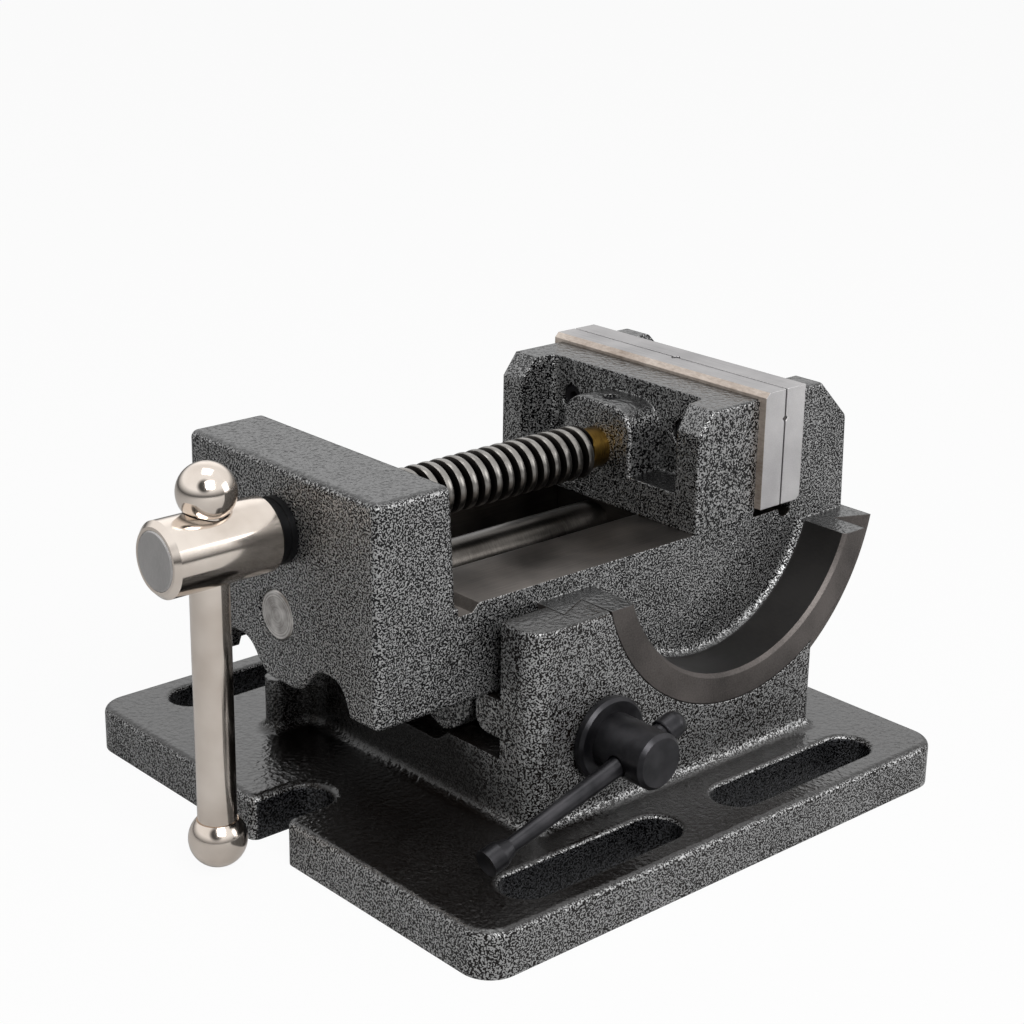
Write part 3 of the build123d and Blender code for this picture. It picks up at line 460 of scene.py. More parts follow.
@dataclass(frozen=True)
class BlackOxide:
    """Black oxide on turned steel: satin near-black, a little paler where hands rub it."""

    name: str = "black_oxide_turned"
    dark: str = "#1e1e21"
    rubbed: str = "#38373a"
    roughness: float = 0.34
    roughness_span: float = 0.2
    metallic: float = 0.65
    cloud_mm: float = 7.14
    dark_below: float = 0.35
    rubbed_above: float = 0.7
    grain_mm: float = 0.4
    grain_depth_mm: float = 0.01
    edge_mm: float = 0.3

    def material(self) -> bpy.types.Material:
        """Builds the finish.

        Returns:
            The material.
        """
        material, tree = blank_material(self.name)
        place = add_node(tree, "TexCoord").outputs["Object"]
        cloud = add_node(tree, "TexNoise", values={"Scale": 1 / (self.cloud_mm * MM), "Detail": 4.0},
                         links={"Vector": place})
        grain = add_node(tree, "TexNoise", values={"Scale": 1 / (self.grain_mm * MM), "Detail": 2.0},
                         links={"Vector": place})
        colour = add_node(tree, "ValToRGB", links={"Fac": cloud.outputs["Fac"]},
                          stops=[(self.dark_below, srgb(self.dark)),
                                 (self.rubbed_above, srgb(self.rubbed))])
        rough = add_node(tree, "Math", {"operation": "MULTIPLY_ADD"},
                         {1: self.roughness_span, 2: self.roughness - self.roughness_span / 2},
                         {0: cloud.outputs["Fac"]})
        round_edges = add_node(tree, "Bevel", {"samples": 4}, {"Radius": self.edge_mm * MM})
        bump = add_node(tree, "Bump",
                        values={"Strength": 0.3, "Distance": self.grain_depth_mm * MM},
                        links={"Height": grain.outputs["Fac"],
                               "Normal": round_edges.outputs["Normal"]})
        finish_material(tree, {"Metallic": self.metallic},
                        {"Base Color": colour.outputs["Color"],
                         "Roughness": rough.outputs["Value"], "Normal": bump.outputs["Normal"]})
        return material


@dataclass(frozen=True)
class ThreadForm:
    """The lead screw's thread: its axis, its radii and the outline of one turn."""

    axis_z_mm: float = SCREW_MM[2]
    crest_mm: float = 9.0
    root_mm: float = 6.5
    pitch_mm: float = 5.0
    crest_share: float = 0.45
    root_share: float = 0.32
    crown_mm: float = 0.2
    crown_steps: int = 4

    def outline(self) -> list[tuple[float, float]]:
        """Draws one pitch: root, flank, crowned crest and flank.

        Returns:
            Points as (place along the axis, radius), in millimetres.
        """
        root = self.root_share * self.pitch_mm
        crest = self.crest_share * self.pitch_mm
        flank = (self.pitch_mm - root - crest) / 2
        points = [(0.0, self.root_mm), (root, self.root_mm)]
        for step in range(self.crown_steps + 1):
            across = step / self.crown_steps
            drop = self.crown_mm * (2 * across - 1) ** 2
            points.append((root + flank + crest * across, self.crest_mm - drop))
        return points + [(self.pitch_mm, self.root_mm)]


@dataclass(frozen=True)
class ThreadedSteel:
    """Rolled thread: colour that darkens from the crests down the flanks to near black in the roots,
    with blots of oil.
    """

    form: ThreadForm
    name: str = "threaded_steel_dark_roots"
    crest: str = "#8f8c88"
    flank: str = "#45413e"
    root: str = "#121010"
    root_below: float = 0.3
    flank_at: float = 0.75
    crest_above: float = 0.95
    root_roughness: float = 0.6
    crest_roughness: float = 0.3
    # Blots of oil, and the noise value at which they leave the colour as it is.
    oil_mm: float = 3.85
    oil_share: float = 0.5
    oil_level: float = 0.54

    def material(self) -> bpy.types.Material:
        """Builds the finish.

        Returns:
            The material, coloured by the distance from the screw's axis.
        """
        material, tree = blank_material(self.name)
        place = add_node(tree, "TexCoord").outputs["Object"]
        centred = add_node(tree, "Mapping",
                           values={"Location": (0, 0, -self.form.axis_z_mm * MM),
                                   "Scale": (0, 1, 1)}, links={"Vector": place})
        radius = add_node(tree, "VectorMath", {"operation": "LENGTH"},
                          links={0: centred.outputs["Vector"]})
        height = add_node(tree, "MapRange", {},
                          {"From Min": self.form.root_mm * MM, "From Max": self.form.crest_mm * MM},
                          {"Value": radius.outputs["Value"]})
        oil = add_node(tree, "TexNoise", values={"Scale": 1 / (self.oil_mm * MM), "Detail": 5.0},
                       links={"Vector": place})
        worn = add_node(tree, "Math", {"operation": "MULTIPLY_ADD"},
                        {1: self.oil_share, 2: -self.oil_share * self.oil_level},
                        {0: oil.outputs["Fac"]})
        level = add_node(tree, "Math", {"operation": "ADD"}, {},
                         {0: height.outputs["Result"], 1: worn.outputs["Value"]})
        # Darker towards the roots, by the distance from the screw's axis.
        colour = add_node(tree, "ValToRGB", links={"Fac": level.outputs["Value"]},
                          stops=[(self.root_below, srgb(self.root)),
                                 (self.flank_at, srgb(self.flank)),
                                 (self.crest_above, srgb(self.crest))])
        rough = add_node(tree, "MapRange", {},
                         {"From Min": self.root_below, "From Max": self.crest_above,
                          "To Min": self.root_roughness, "To Max": self.crest_roughness},
                         {"Value": level.outputs["Value"]})
        finish_material(tree, {"Metallic": 1.0},
                        {"Base Color": colour.outputs["Color"],
                         "Roughness": rough.outputs["Result"]})
        return material


@dataclass(frozen=True)
class StudioPaper:
    """Matt paper under the vise: white to the camera, and dim to light that bounces back up."""

    name: str = "floor_paper_pale"
    white_share: float = 0.95
    lit: float = 0.8
    bounce: float = 0.22

    def material(self) -> bpy.types.Material:
        """Builds the finish.

        Returns:
            The material; the share of it that isn't plain white takes the vise's shadow.
        """
        material, tree = blank_material(self.name)
        white = add_node(tree, "Emission", values={"Color": grey(1.0), "Strength": 1.0})
        lit = add_node(tree, "BsdfDiffuse", values={"Color": grey(self.lit)})
        dim = add_node(tree, "BsdfDiffuse", values={"Color": grey(self.bounce)})
        path = add_node(tree, "LightPath")
        share = add_node(tree, "Math", {"operation": "MULTIPLY"}, {1: self.white_share},
                         {0: path.outputs["Is Camera Ray"]})
        paper = add_node(tree, "MixShader", links={0: path.outputs["Is Diffuse Ray"],
                                                   1: lit.outputs["BSDF"], 2: dim.outputs["BSDF"]})
        mix = add_node(tree, "MixShader", links={0: share.outputs["Value"],
                                                 1: paper.outputs["Shader"],
                                                 2: white.outputs["Emission"]})
        add_node(tree, "OutputMaterial", links={"Surface": mix.outputs["Shader"]})
        return material


class Finish(Enum):
    """The finishes of the vise and the floor, each named for its material and how it was made, or
    for the painted shade that it carries.
    """

    ENAMEL = HammeredEnamel()
    # In the pit under the screw this enamel is smoother, and darker as painted shade.
    ENAMEL_POOLED = HammeredEnamel("hammered_enamel_pit_shaded", peel_depth_mm=0.32, top_painted_sheen=0.6,
                                   pit_shade=PaintedPitShade((-45.0, 0.0, 18.0), (52.0, 62.0, 32.0)))
    # The walls of the slots and notches get dull flakes: painted shade.
    ENAMEL_SLOT = HammeredEnamel("hammered_enamel_slot_shaded", flake="#58595c")
    # Cutter lines run across the underside.
    MILLED_UNDER = MachinedMetal("cast_iron_milled_across", "#8f8c89", "#5f5c59",
                                 stretch=(0.12, 1.0, 1.0))
    # Long streaks run along the jaw's travel, dulled by oil.
    WAYS = MachinedMetal("cast_iron_planed_oiled", "#76706b", "#4c4845", line_mm=0.5,
                         stretch=(0.02, 1.0, 1.0))
    # Bare turned iron has a dull brownish skin with hardly a grain.
    RING = MachinedMetal("cast_iron_turned_bare", "#6b6562", "#3c3836", line_mm=0.3,
                         stretch=(0.5, 0.5, 0.5), roughness=0.46, metallic=0.6)
    # The rings' bores are painted nearly black: painted shade inside the rings.
    RING_BORE = MachinedMetal("cast_iron_bored_painted_shade", "#2c2a29", "#1c1b1a", line_mm=0.4,
                              stretch=(0.2, 0.2, 1.0), roughness=0.4, metallic=0.5)
    # Machined faces that only oil covers are dark and matt.
    BARE_IRON = MachinedMetal("cast_iron_bare_machined", "#464340", "#2a2826", roughness=0.5)
    # The plates are pale, with grinding lines along their length.
    GROUND = MachinedMetal("tool_steel_ground", "#dcdada", "#bebcbd", line_mm=0.4,
                           stretch=(1.0, 0.015, 1.0), roughness=0.45)
    # The plates' top edges are painted a step darker than their sides: painted shade.
    GROUND_TOP = MachinedMetal("tool_steel_ground_top_shaded", "#b2b0b0", "#8b898a", line_mm=0.5,
                               stretch=(1.0, 0.02, 1.0), roughness=0.4)
    # Warm stains lie over coarse saw marks.
    SAWN = MachinedMetal("tool_steel_sawn_stained", "#ddd2c8", "#a39488", line_mm=0.7,
                         stretch=(1.0, 0.35, 1.0), roughness=0.55, line_depth_mm=0.05,
                         metallic=0.7)
    # Turning leaves bright rings round the screw.
    TURNED = MachinedMetal("steel_turned_bright", "#a9a6a2", "#787572", line_mm=0.3,
                           stretch=(1.0, 0.1, 0.1), roughness=0.3)
    # The guide rod is smooth and dark with oil.
    ROD = MachinedMetal("steel_ground_oiled", "#625e5a", "#3a3734", line_mm=0.3,
                        stretch=(1.0, 0.1, 0.1), roughness=0.3)
    # Its end shows the rings of the lathe, round the rod's own axis.
    ROD_END = FacedSteel("steel_faced_rod_end", axis_y_mm=2.3, axis_z_mm=76.5)
    # The lead screw's end is an even satin grey.
    SCREW_END = MachinedMetal("steel_ground_satin", "#bdbbba", "#a3a1a0", line_mm=0.3,
                              stretch=(1.0, 1.0, 0.2), roughness=0.42)
    THREAD = ThreadedSteel(ThreadForm())
    NICKEL = NickelPlate()
    OXIDE = BlackOxide()
    # The collar is painted near black: painted shade.
    OXIDE_OILED = BlackOxide("black_oxide_painted_shade", "#08080a", "#131315", 0.45)
    # Dark oil lies in patches on yellow bronze.
    BRONZE = MachinedMetal("bronze_turned_oiled", "#a5823f", "#2a1d0c", line_mm=0.3,
                           stretch=(1.0, 0.1, 0.1), roughness=0.34)
    PAPER = StudioPaper()

    def material(self) -> bpy.types.Material:
        """Returns the finish's material, built the first time that it is asked for."""
        made = bpy.data.materials.get(self.value.name)
        return made or self.value.material()


FaceTest = Callable[[Vector, Vector], Finish]


def object_from(bm: bmesh.types.BMesh, name: str, finish: Finish,
                smooth_deg: float = 32.0) -> bpy.types.Object:
    """Turns a bmesh into a scene object with one finish.

    Args:
        bm: The finished mesh, freed here.
        name: The piece's name.
        finish: The finish of its whole surface.
        smooth_deg: Edges that turn less than this are shaded smooth.

    Returns:
        The object, at the origin.
    """
    mesh = bpy.data.meshes.new(name)
    bm.to_mesh(mesh)
    bm.free()
    mesh.materials.append(finish.material())
    for polygon in mesh.polygons:
        polygon.use_smooth = True
    mesh.set_sharp_from_angle(angle=math.radians(smooth_deg))
    piece = bpy.data.objects.new(name, mesh)
    bpy.context.collection.objects.link(piece)
    LOG.info("made %s in %s", name, finish.name.lower())
    return piece


def dress_node(node: str, finish: Finish) -> None:
    """Gives a CAD node one finish all over.

    Args:
        node: The node's name.
        finish: The finish of its whole surface.
    """
    piece = frame["nodes"][node]
    piece.data.materials.clear()
    piece.data.materials.append(finish.material())
    LOG.info("dressed %s in %s", node, finish.name.lower())


def dress_by_face(node: str, body: str, finish_of: FaceTest, finishes: Sequence[Finish]) -> None:
    """Stands a copy in for a CAD node, so that its faces can carry different finishes.

    Args:
        node: The CAD node that the copy stands for.
        body: The body that it moves with.
        finish_of: Picks the finish of a face from its centre and normal, in metres.
        finishes: The finishes that the copy carries.
    """
    name = node + "_finished"
    mesh = frame["nodes"][node].data.copy()
    mesh.name = name
    mesh.materials.clear()
    for finish in finishes:
        mesh.materials.append(finish.material())
    for polygon in mesh.polygons:
        polygon.material_index = finishes.index(finish_of(polygon.center, polygon.normal))
    piece = bpy.data.objects.new(name, mesh)
    bpy.context.collection.objects.link(piece)
    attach(piece, body)
    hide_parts(node)
    LOG.info("copied %s in %s", node, ", ".join(finish.name.lower() for finish in finishes))


def spun(profile: Sequence[tuple[float, float]], steps: int, turns: int = 1,
         lead_mm: float = 0.0) -> bmesh.types.BMesh:
    """Spins a profile about the X axis.

    Args:
        profile: Points as (place along the axis, radius), in millimetres.
        steps: Facets in one turn.
        turns: Whole turns.
        lead_mm: How far one turn moves along the axis.

    Returns:
        The spun form, without doubles.
    """
    bm = bmesh.new()
    points = [bm.verts.new((along * MM, 0, radius * MM)) for along, radius in profile]
    edges = [bm.edges.new(pair) for pair in zip(points, points[1:])]
    bmesh.ops.spin(bm, geom=points + edges, cent=(0, 0, 0), axis=(1, 0, 0),
                   angle=2 * math.pi * turns, steps=steps * turns,
                   dvec=(lead_mm / steps * MM, 0, 0), use_merge=lead_mm == 0)
    bmesh.ops.remove_doubles(bm, verts=bm.verts, dist=WELD_MM * MM)
    return bm


def turned_piece(profile: Sequence[tuple[float, float]], place: Matrix,
                 steps: int = 96) -> bmesh.types.BMesh:
    """Turns a profile on the X axis and puts it in place.

    Args:
        profile: Points as (place along the axis, radius), in millimetres.
        place: Moves the turned form from the X axis to its own axis.
        steps: Facets round the axis.

    Returns:
        The turned form, its faces outward.
    """
    bm = spun(profile, steps)
    bmesh.ops.recalc_face_normals(bm, faces=bm.faces)
    bm.transform(place)
    return bm


@dataclass
class BaseAssembly:
    """The slotted base with its cradle, and the nut on the far cheek."""

    plate_top_mm: float = 15.0
    # The side slots' band across the base and their reach along it, and the end notches.
    slots_y_mm: tuple[float, float] = (75.0, 95.0)
    slots_end_mm: float = 89.5
    notch_half_mm: float = 8.8
    # The cheeks' grooves: their span across the base, and the radii of their neck and bottom.
    groove_back_mm: float = 51.3
    groove_front_mm: float = 65.9
    groove_neck_mm: float = 61.0
    groove_mm: float = 73.6
    # The least share of y in the normal of a groove's flank, whose undercut leans.
    flank_lean: float = 0.8

    def finish_of(self, centre: Vector, normal: Vector) -> Finish:
        """Picks the finish of a face of the base casting.

        Args:
            centre: The face's centre.
            normal: Its normal.

        Returns:
            Milled underneath, enamel with dull flakes as painted shade in the slots, bare in the
            grooves, else enamel with painted shade round the pit.
        """
        x, y, z = centre / MM
        if z < NEAR_MM:
            return Finish.MILLED_UNDER
        in_slot = self.slots_y_mm[0] < abs(y) < self.slots_y_mm[1] and abs(x) < self.slots_end_mm
        in_opening = z < self.plate_top_mm and (in_slot or abs(y) < self.notch_half_mm)
        # Painted shade: the walls of the slots and notches get dull flakes.
        if in_opening and abs(normal.z) < LEANS:
            return Finish.ENAMEL_SLOT
        inward = Vector((TILT_MM[0] - x, 0, TILT_MM[2] - z))
        in_groove = (self.groove_back_mm < abs(y) < self.groove_front_mm
                     and inward.length < self.groove_mm)
        on_flank = abs(normal.y) > self.flank_lean and inward.length > self.groove_neck_mm
        if in_groove and (on_flank or normal.dot(inward.normalized()) > LEANS):
            return Finish.BARE_IRON
        return Finish.ENAMEL_POOLED

    def build(self) -> None:
        """Builds and dresses the base."""
        dress_by_face("base_casting", "base", self.finish_of,
                      [Finish.ENAMEL_POOLED, Finish.ENAMEL_SLOT, Finish.MILLED_UNDER,
                       Finish.BARE_IRON])
        dress_node("lock_nut", Finish.OXIDE)


def plate_finish(centre: Vector, normal: Vector) -> Finish:
    """Picks the finish of a face of a jaw plate.

    Args:
        centre: The face's centre, which doesn't matter here.
        normal: Its normal.

    Returns:
        Ground, and a step darker on the top edge as painted shade.
    """
    return Finish.GROUND_TOP if normal.z > LOOKS else Finish.GROUND


@dataclass
class BodyAssembly:
    """The tilting body with its rings, the fixed jaw's plate and the guide rod."""

    # The drum's wall and the rings' front, as distances from the middle of the vise.
    wall_mm: float = 46.5
    ring_front_mm: float = 66.0
    ring_bevel_mm: float = 1.3
    # The radius of the rings' bore, and the width of the rim behind it that stays enamelled.
    ring_bore_mm: float = 51.4
    ring_rim_mm: float = 2.0
    ring_top_mm: float = 80.0
    # The middle of a flat facet lies this much inside the round bore, at most.
    facet_sag_mm: float = 0.2
    way_top_mm: float = 86.0
    way_depth_mm: float = 5.6
    ways_mm: tuple[float, float] = (-63.9, 81.5)
    slot_half_mm: float = 20.0
    rod_end_mm: float = -90.0

    def ring_finish(self, centre: Vector, normal: Vector) -> Finish:
        """Picks the finish of a face of a ring.

        Args:
            centre: The face's centre, in millimetres.
            normal: Its normal.

        Returns:
            Turned in front and on the dovetail, bored and darkened as painted shade inside, enamel
            on its ends and its root.
        """
        if centre.z > self.ring_top_mm - NEAR_MM:
            return Finish.ENAMEL
        if abs(centre.y) > self.ring_front_mm - self.ring_bevel_mm:
            return Finish.RING
        outward = Vector((centre.x - TILT_MM[0], 0, centre.z - TILT_MM[2]))
        lean = normal.dot(outward.normalized())
        on_back = abs(normal.y) > LEANS and outward.length > self.ring_bore_mm + self.ring_rim_mm
        if lean > LEANS or on_back:
            return Finish.RING
        on_bore = abs(outward.length - self.ring_bore_mm) < self.facet_sag_mm
        # Painted shade: the bore is nearly black.
        return Finish.RING_BORE if on_bore and lean < -LOOKS else Finish.ENAMEL

    def finish_of(self, centre: Vector, normal: Vector) -> Finish:
        """Picks the finish of a face of the body casting.

        Args:
            centre: The face's centre.
            normal: Its normal.

        Returns:
            The rings' finishes on the rings, planed on the ways and the slot, else enamel.
        """
        place = centre / MM
        if abs(place.y) > self.wall_mm + NEAR_MM:
            return self.ring_finish(place, normal)
        in_ways = self.ways_mm[0] < place.x < self.ways_mm[1]
        above = place.z - self.way_top_mm
        on_top = normal.z > LEANS and -self.way_depth_mm < above < NEAR_MM
        on_slot = abs(normal.y) > LOOKS and abs(abs(place.y) - self.slot_half_mm) < NEAR_MM
        return Finish.WAYS if in_ways and (on_top or on_slot) else Finish.ENAMEL

    def rod_finish(self, centre: Vector, normal: Vector) -> Finish:
        """Picks the finish of a face of the guide rod.

        Args:
            centre: The face's centre.
            normal: Its normal.

        Returns:
            Faced on the end that shows in the head, ground along its length.
        """
        at_head = centre.x < self.rod_end_mm * MM and normal.x < -LEANS
        return Finish.ROD_END if at_head else Finish.ROD

    def build(self) -> None:
        """Builds and dresses the body."""
        dress_by_face("vise_body", "body", self.finish_of,
                      [Finish.ENAMEL, Finish.RING, Finish.RING_BORE, Finish.WAYS])
        dress_by_face("guide_rod", "body", self.rod_finish, [Finish.ROD, Finish.ROD_END])
        dress_by_face("fixed_jaw_plate", "body", plate_finish,
                      [Finish.GROUND, Finish.GROUND_TOP])
        dress_node("fixed_plate_screws", Finish.OXIDE)


@dataclass
class JawAssembly:
    """The movable jaw with its plate, keeper and bush."""

    bottom_mm: float = 86.1

    def finish_of(self, centre: Vector, normal: Vector) -> Finish:
        """Picks the finish of a face of the movable jaw.

        Args:
            centre: The face's centre.
            normal: Its normal, which doesn't matter here.

        Returns:
            Bare iron underneath and on the lug, else enamel.
        """
        is_low = centre.z < (self.bottom_mm + NEAR_MM) * MM
        return Finish.BARE_IRON if is_low else Finish.ENAMEL

    def plate_finish(self, centre: Vector, normal: Vector) -> Finish:
        """Picks the finish of a face of the movable jaw's plate.

        Args:
            centre: The face's centre.
            normal: Its normal.

        Returns:
            Sawn and stained on the back and its edge bevel, which show above the jaw as a strip.
        """
        return Finish.SAWN if normal.x < -LEANS else plate_finish(centre, normal)

    def build(self) -> None:
        """Builds and dresses the movable jaw."""
        dress_by_face("movable_jaw", "jaw", self.finish_of, [Finish.ENAMEL, Finish.BARE_IRON])
        dress_by_face("movable_jaw_plate", "jaw", self.plate_finish,
                      [Finish.GROUND, Finish.GROUND_TOP, Finish.SAWN])
        for node, finish in (("movable_plate_screws", Finish.OXIDE),
                             ("retaining_screw", Finish.OXIDE),
                             ("keeper_plate", Finish.TURNED),
                             ("keeper_bolts", Finish.OXIDE),
                             ("screw_bush", Finish.BRONZE)):
            dress_node(node, finish)


@dataclass
class ScrewAssembly:
    """The lead screw with its hub and collar. The sizes of its hole and journal are radii."""

    form: ThreadForm = ThreadForm()
    turn_steps: int = 64
    thread_start_mm: float = -94.3
    thread_end_mm: float = 28.3
    runout_mm: float = 1.2
    end_mm: float = -136.9
    end_chamfer_mm: float = 0.5
    cross_hole_mm: float = 6.3
    journal_mm: float = 5.5
    journal_end_mm: float = 47.0

    def placed(self) -> Matrix:
        """Returns the move from the X axis to the screw's axis."""
        return Matrix.Translation((0, 0, self.form.axis_z_mm * MM))

    def thread(self) -> bmesh.types.BMesh:
        """Builds the thread as one spun helix.

        Returns:
            The closed threaded length.
        """
        pitch = self.form.pitch_mm
        start = self.thread_start_mm - pitch
        turns = math.ceil((self.thread_end_mm - start) / pitch) + 1
        outline = [(start + along, radius) for along, radius in self.form.outline()]
        bm = spun(outline, self.turn_steps, turns, pitch)
        self.trim(bm, self.thread_start_mm, -1)
        self.trim(bm, self.thread_end_mm, 1)
        bmesh.ops.holes_fill(bm, edges=[edge for edge in bm.edges if edge.is_boundary], sides=0)
        bmesh.ops.recalc_face_normals(bm, faces=bm.faces)
        bm.transform(self.placed())
        return bm

    def trim(self, bm: bmesh.types.BMesh, at_mm: float, side: int) -> None:
        """Cuts the helix square at one end and thins its crest there.

        Args:
            bm: The helix, on the X axis.
            at_mm: The place of the cut.
            side: 1 keeps what lies below the cut, -1 what lies above it.
        """
        everything = list(bm.verts) + list(bm.edges) + list(bm.faces)
        bmesh.ops.bisect_plane(bm, geom=everything, plane_co=(at_mm * MM, 0, 0),
                               plane_no=(side, 0, 0), clear_outer=True)
        for vert in bm.verts:
            thinned = self.runout_mm - abs(at_mm - vert.co.x / MM)
            radius = math.hypot(vert.co.y, vert.co.z) / MM
            limit = self.form.crest_mm - thinned
            if thinned > 0 and radius > limit:
                vert.co.y *= limit / radius
                vert.co.z *= limit / radius

    def plain_lengths(self) -> list[bmesh.types.BMesh]:
        """Builds the plain lengths: in the hub, either side of its cross hole, and the journal.

        Returns:
            The end, the neck and the journal, each closed.
        """
        rear, chamfer, crest = self.end_mm, self.end_chamfer_mm, self.form.crest_mm
        before, after = HANDLE_X_MM - self.cross_hole_mm, HANDLE_X_MM + self.cross_hole_mm
        start, end, tip = self.thread_start_mm, self.thread_end_mm, self.journal_end_mm
        profiles = ([(rear, 0), (rear, crest - chamfer), (rear + chamfer, crest),
                     (before, crest), (before, 0)],
                    [(after, 0), (after, crest), (start, crest), (start, 0)],
                    [(end, 0), (end, self.journal_mm), (tip, self.journal_mm), (tip, 0)])
        return [turned_piece(profile, self.placed()) for profile in profiles]

    def build(self) -> None:
        """Builds and dresses the screw."""
        end, neck, journal = self.plain_lengths()
        for part in (object_from(self.thread(), "lead_screw_thread", Finish.THREAD),
                     object_from(end, "lead_screw_end", Finish.SCREW_END),
                     object_from(neck, "lead_screw_neck", Finish.TURNED),
                     object_from(journal, "lead_screw_journal", Finish.TURNED)):
            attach(part, "screw")
            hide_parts("lead_screw")
        dress_node("screw_hub", Finish.NICKEL)
        # The collar's near black is painted shade.
        dress_node("screw_collar", Finish.OXIDE_OILED)


@dataclass
class HandleAssembly:
    """The sliding bar and its two balls. The sizes of round forms are radii."""

    upper_z_mm: float = 121.5
    lower_z_mm: float = 11.5
    ball_mm: float = 9.0
    arc_steps: int = 40
    # The flat that the lathe leaves at the pole: its radius, and its place from the centre.
    flat_mm: float = 1.44
    flat_at_mm: float = 8.88
    # The bar's hole: its radius, its widened mouth and where it ends in the ball.
    hole_mm: float = 6.02
    mouth_mm: float = 6.35
    mouth_depth_mm: float = 0.3
    hole_end_mm: float = -3.0

    def ball_profile(self) -> list[tuple[float, float]]:
        """Draws half a ball with a small flat at the pole and a blind hole for the bar.

        Returns:
            Points from the pole to the end of the hole, along the bar.
        """
        start = math.asin(self.flat_mm / self.ball_mm)
        sweep = math.pi - math.asin(self.mouth_mm / self.ball_mm) - start
        points = [(self.flat_at_mm, 0.0)]
        for step in range(self.arc_steps + 1):
            angle = start + sweep * step / self.arc_steps
            points.append((self.ball_mm * math.cos(angle), self.ball_mm * math.sin(angle)))
        mouth_at = points[-1][0]
        return points + [(mouth_at + self.mouth_depth_mm, self.hole_mm),
                         (self.hole_end_mm, self.hole_mm), (self.hole_end_mm, 0.0)]

    def build(self) -> None:
        """Builds and dresses the handle."""
        for node, z, up in (("upper_handle_ball", self.upper_z_mm, 1),
                            ("lower_handle_ball", self.lower_z_mm, -1)):
            turn = Matrix.Rotation(-up * math.pi / 2, 4, "Y")
            place = Matrix.Translation((HANDLE_X_MM * MM, 0, z * MM)) @ turn
            ball = object_from(turned_piece(self.ball_profile(), place), node + "_turned",
                               Finish.NICKEL)
            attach(ball, "handle")
            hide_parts(node)
        dress_node("handle_bar", Finish.NICKEL)


@dataclass
class LockAssembly:
    """The cross screw, its washer and its tapered bar with a domed knob at the short end."""

    bar_y_mm: float = -79.8
    bar_tilt_deg: float = 15.9
    # The knob's place along the bar, from the cross screw's axis, and its length.
    knob_start_mm: float = 10.8
    knob_length_mm: float = 9.0
    # Radii of the bar, the knob and the lip that the bar enters.
    bar_mm: float = 3.4
    knob_mm: float = 4.2
    lip_mm: float = 3.9
    lip_length_mm: float = 0.4
    dome_steps: int = 16

    def knob_profile(self) -> list[tuple[float, float]]:
        """Draws half of the knob: a short sleeve on the bar that ends in a dome.

        Returns:
            Points from the bar's hole to the dome's pole.
        """
        start = self.knob_start_mm
        middle = start + self.knob_length_mm - self.knob_mm
        points = [(start, self.bar_mm), (start, self.lip_mm),
                  (start + self.lip_length_mm, self.knob_mm)]
        for step in range(self.dome_steps + 1):
            angle = math.pi / 2 * step / self.dome_steps
            points.append((middle + self.knob_mm * math.sin(angle), self.knob_mm * math.cos(angle)))
        return points

    def build(self) -> None:
        """Builds and dresses the lock."""
        for node in ("lock_screw", "lock_washer", "lock_bar", "lock_bar_long_cap"):
            dress_node(node, Finish.OXIDE)
        centre = Vector((LOCK_MM[0], self.bar_y_mm, LOCK_MM[2])) * MM
        turn = Matrix.Rotation(-math.radians(self.bar_tilt_deg), 4, "Y")
        knob = object_from(turned_piece(self.knob_profile(), Matrix.Translation(centre) @ turn),
                           "lock_bar_knob_turned", Finish.OXIDE)
        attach(knob, "lock_lever")
        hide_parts("lock_bar_short_cap")


def heading(azimuth_deg: float, elevation_deg: float) -> Vector:
    """Turns angles into a direction.

    Args:
        azimuth_deg: 0 along +Y and 90 along +X.
        elevation_deg: The height above the horizon.

    Returns:
        The direction, one unit long.
    """
    around, above = math.radians(azimuth_deg), math.radians(elevation_deg)
    return Vector((math.sin(around) * math.cos(above), math.cos(around) * math.cos(above),
                   math.sin(above)))


@dataclass(frozen=True)
class Lamp:
    """A soft square lamp that faces the vise."""

    name: str
    place_m: Place
    watts: float
    side_m: float = 0.8
    aim_m: Place = (0.0, 0.0, 0.06)

    def build(self) -> None:
        """Adds the lamp to the scene."""
        data = bpy.data.lights.new(self.name, "AREA")
        data.shape = "SQUARE"
        data.size = self.side_m
        data.energy = self.watts
        lamp = bpy.data.objects.new(self.name, data)
        away = Vector(self.place_m) - Vector(self.aim_m)
        turn = away.to_track_quat("Z", "Y").to_matrix().to_4x4()
        lamp.matrix_world = Matrix.Translation(self.place_m) @ turn
        bpy.context.collection.objects.link(lamp)


@dataclass(frozen=True)
class RoomPatch:
    """A round patch of the room that is lighter or darker than the rest, for metal to mirror."""

    azimuth_deg: float
    elevation_deg: float
    # Cosines of the angles from its middle where it begins and where it is full.
    begins: float
    full: float
    # Its light as a share of the room's.
    light: float

    def factor(self, tree: Tree, toward: Socket) -> Socket:
        """Builds the factor for the room's light.

        Args:
            tree: The world's node tree.
            toward: The direction that is looked in.

        Returns:
            The factor, 1 outside the patch.
        """
        middle = heading(self.azimuth_deg, self.elevation_deg)
        near = add_node(tree, "VectorMath", {"operation": "DOT_PRODUCT"}, {1: middle}, {0: toward})
        factor = add_node(tree, "MapRange", {},
                          {"From Min": self.begins, "From Max": self.full, "To Min": 1.0,
                           "To Max": self.light}, {"Value": near.outputs["Value"]})
        return factor.outputs["Result"]


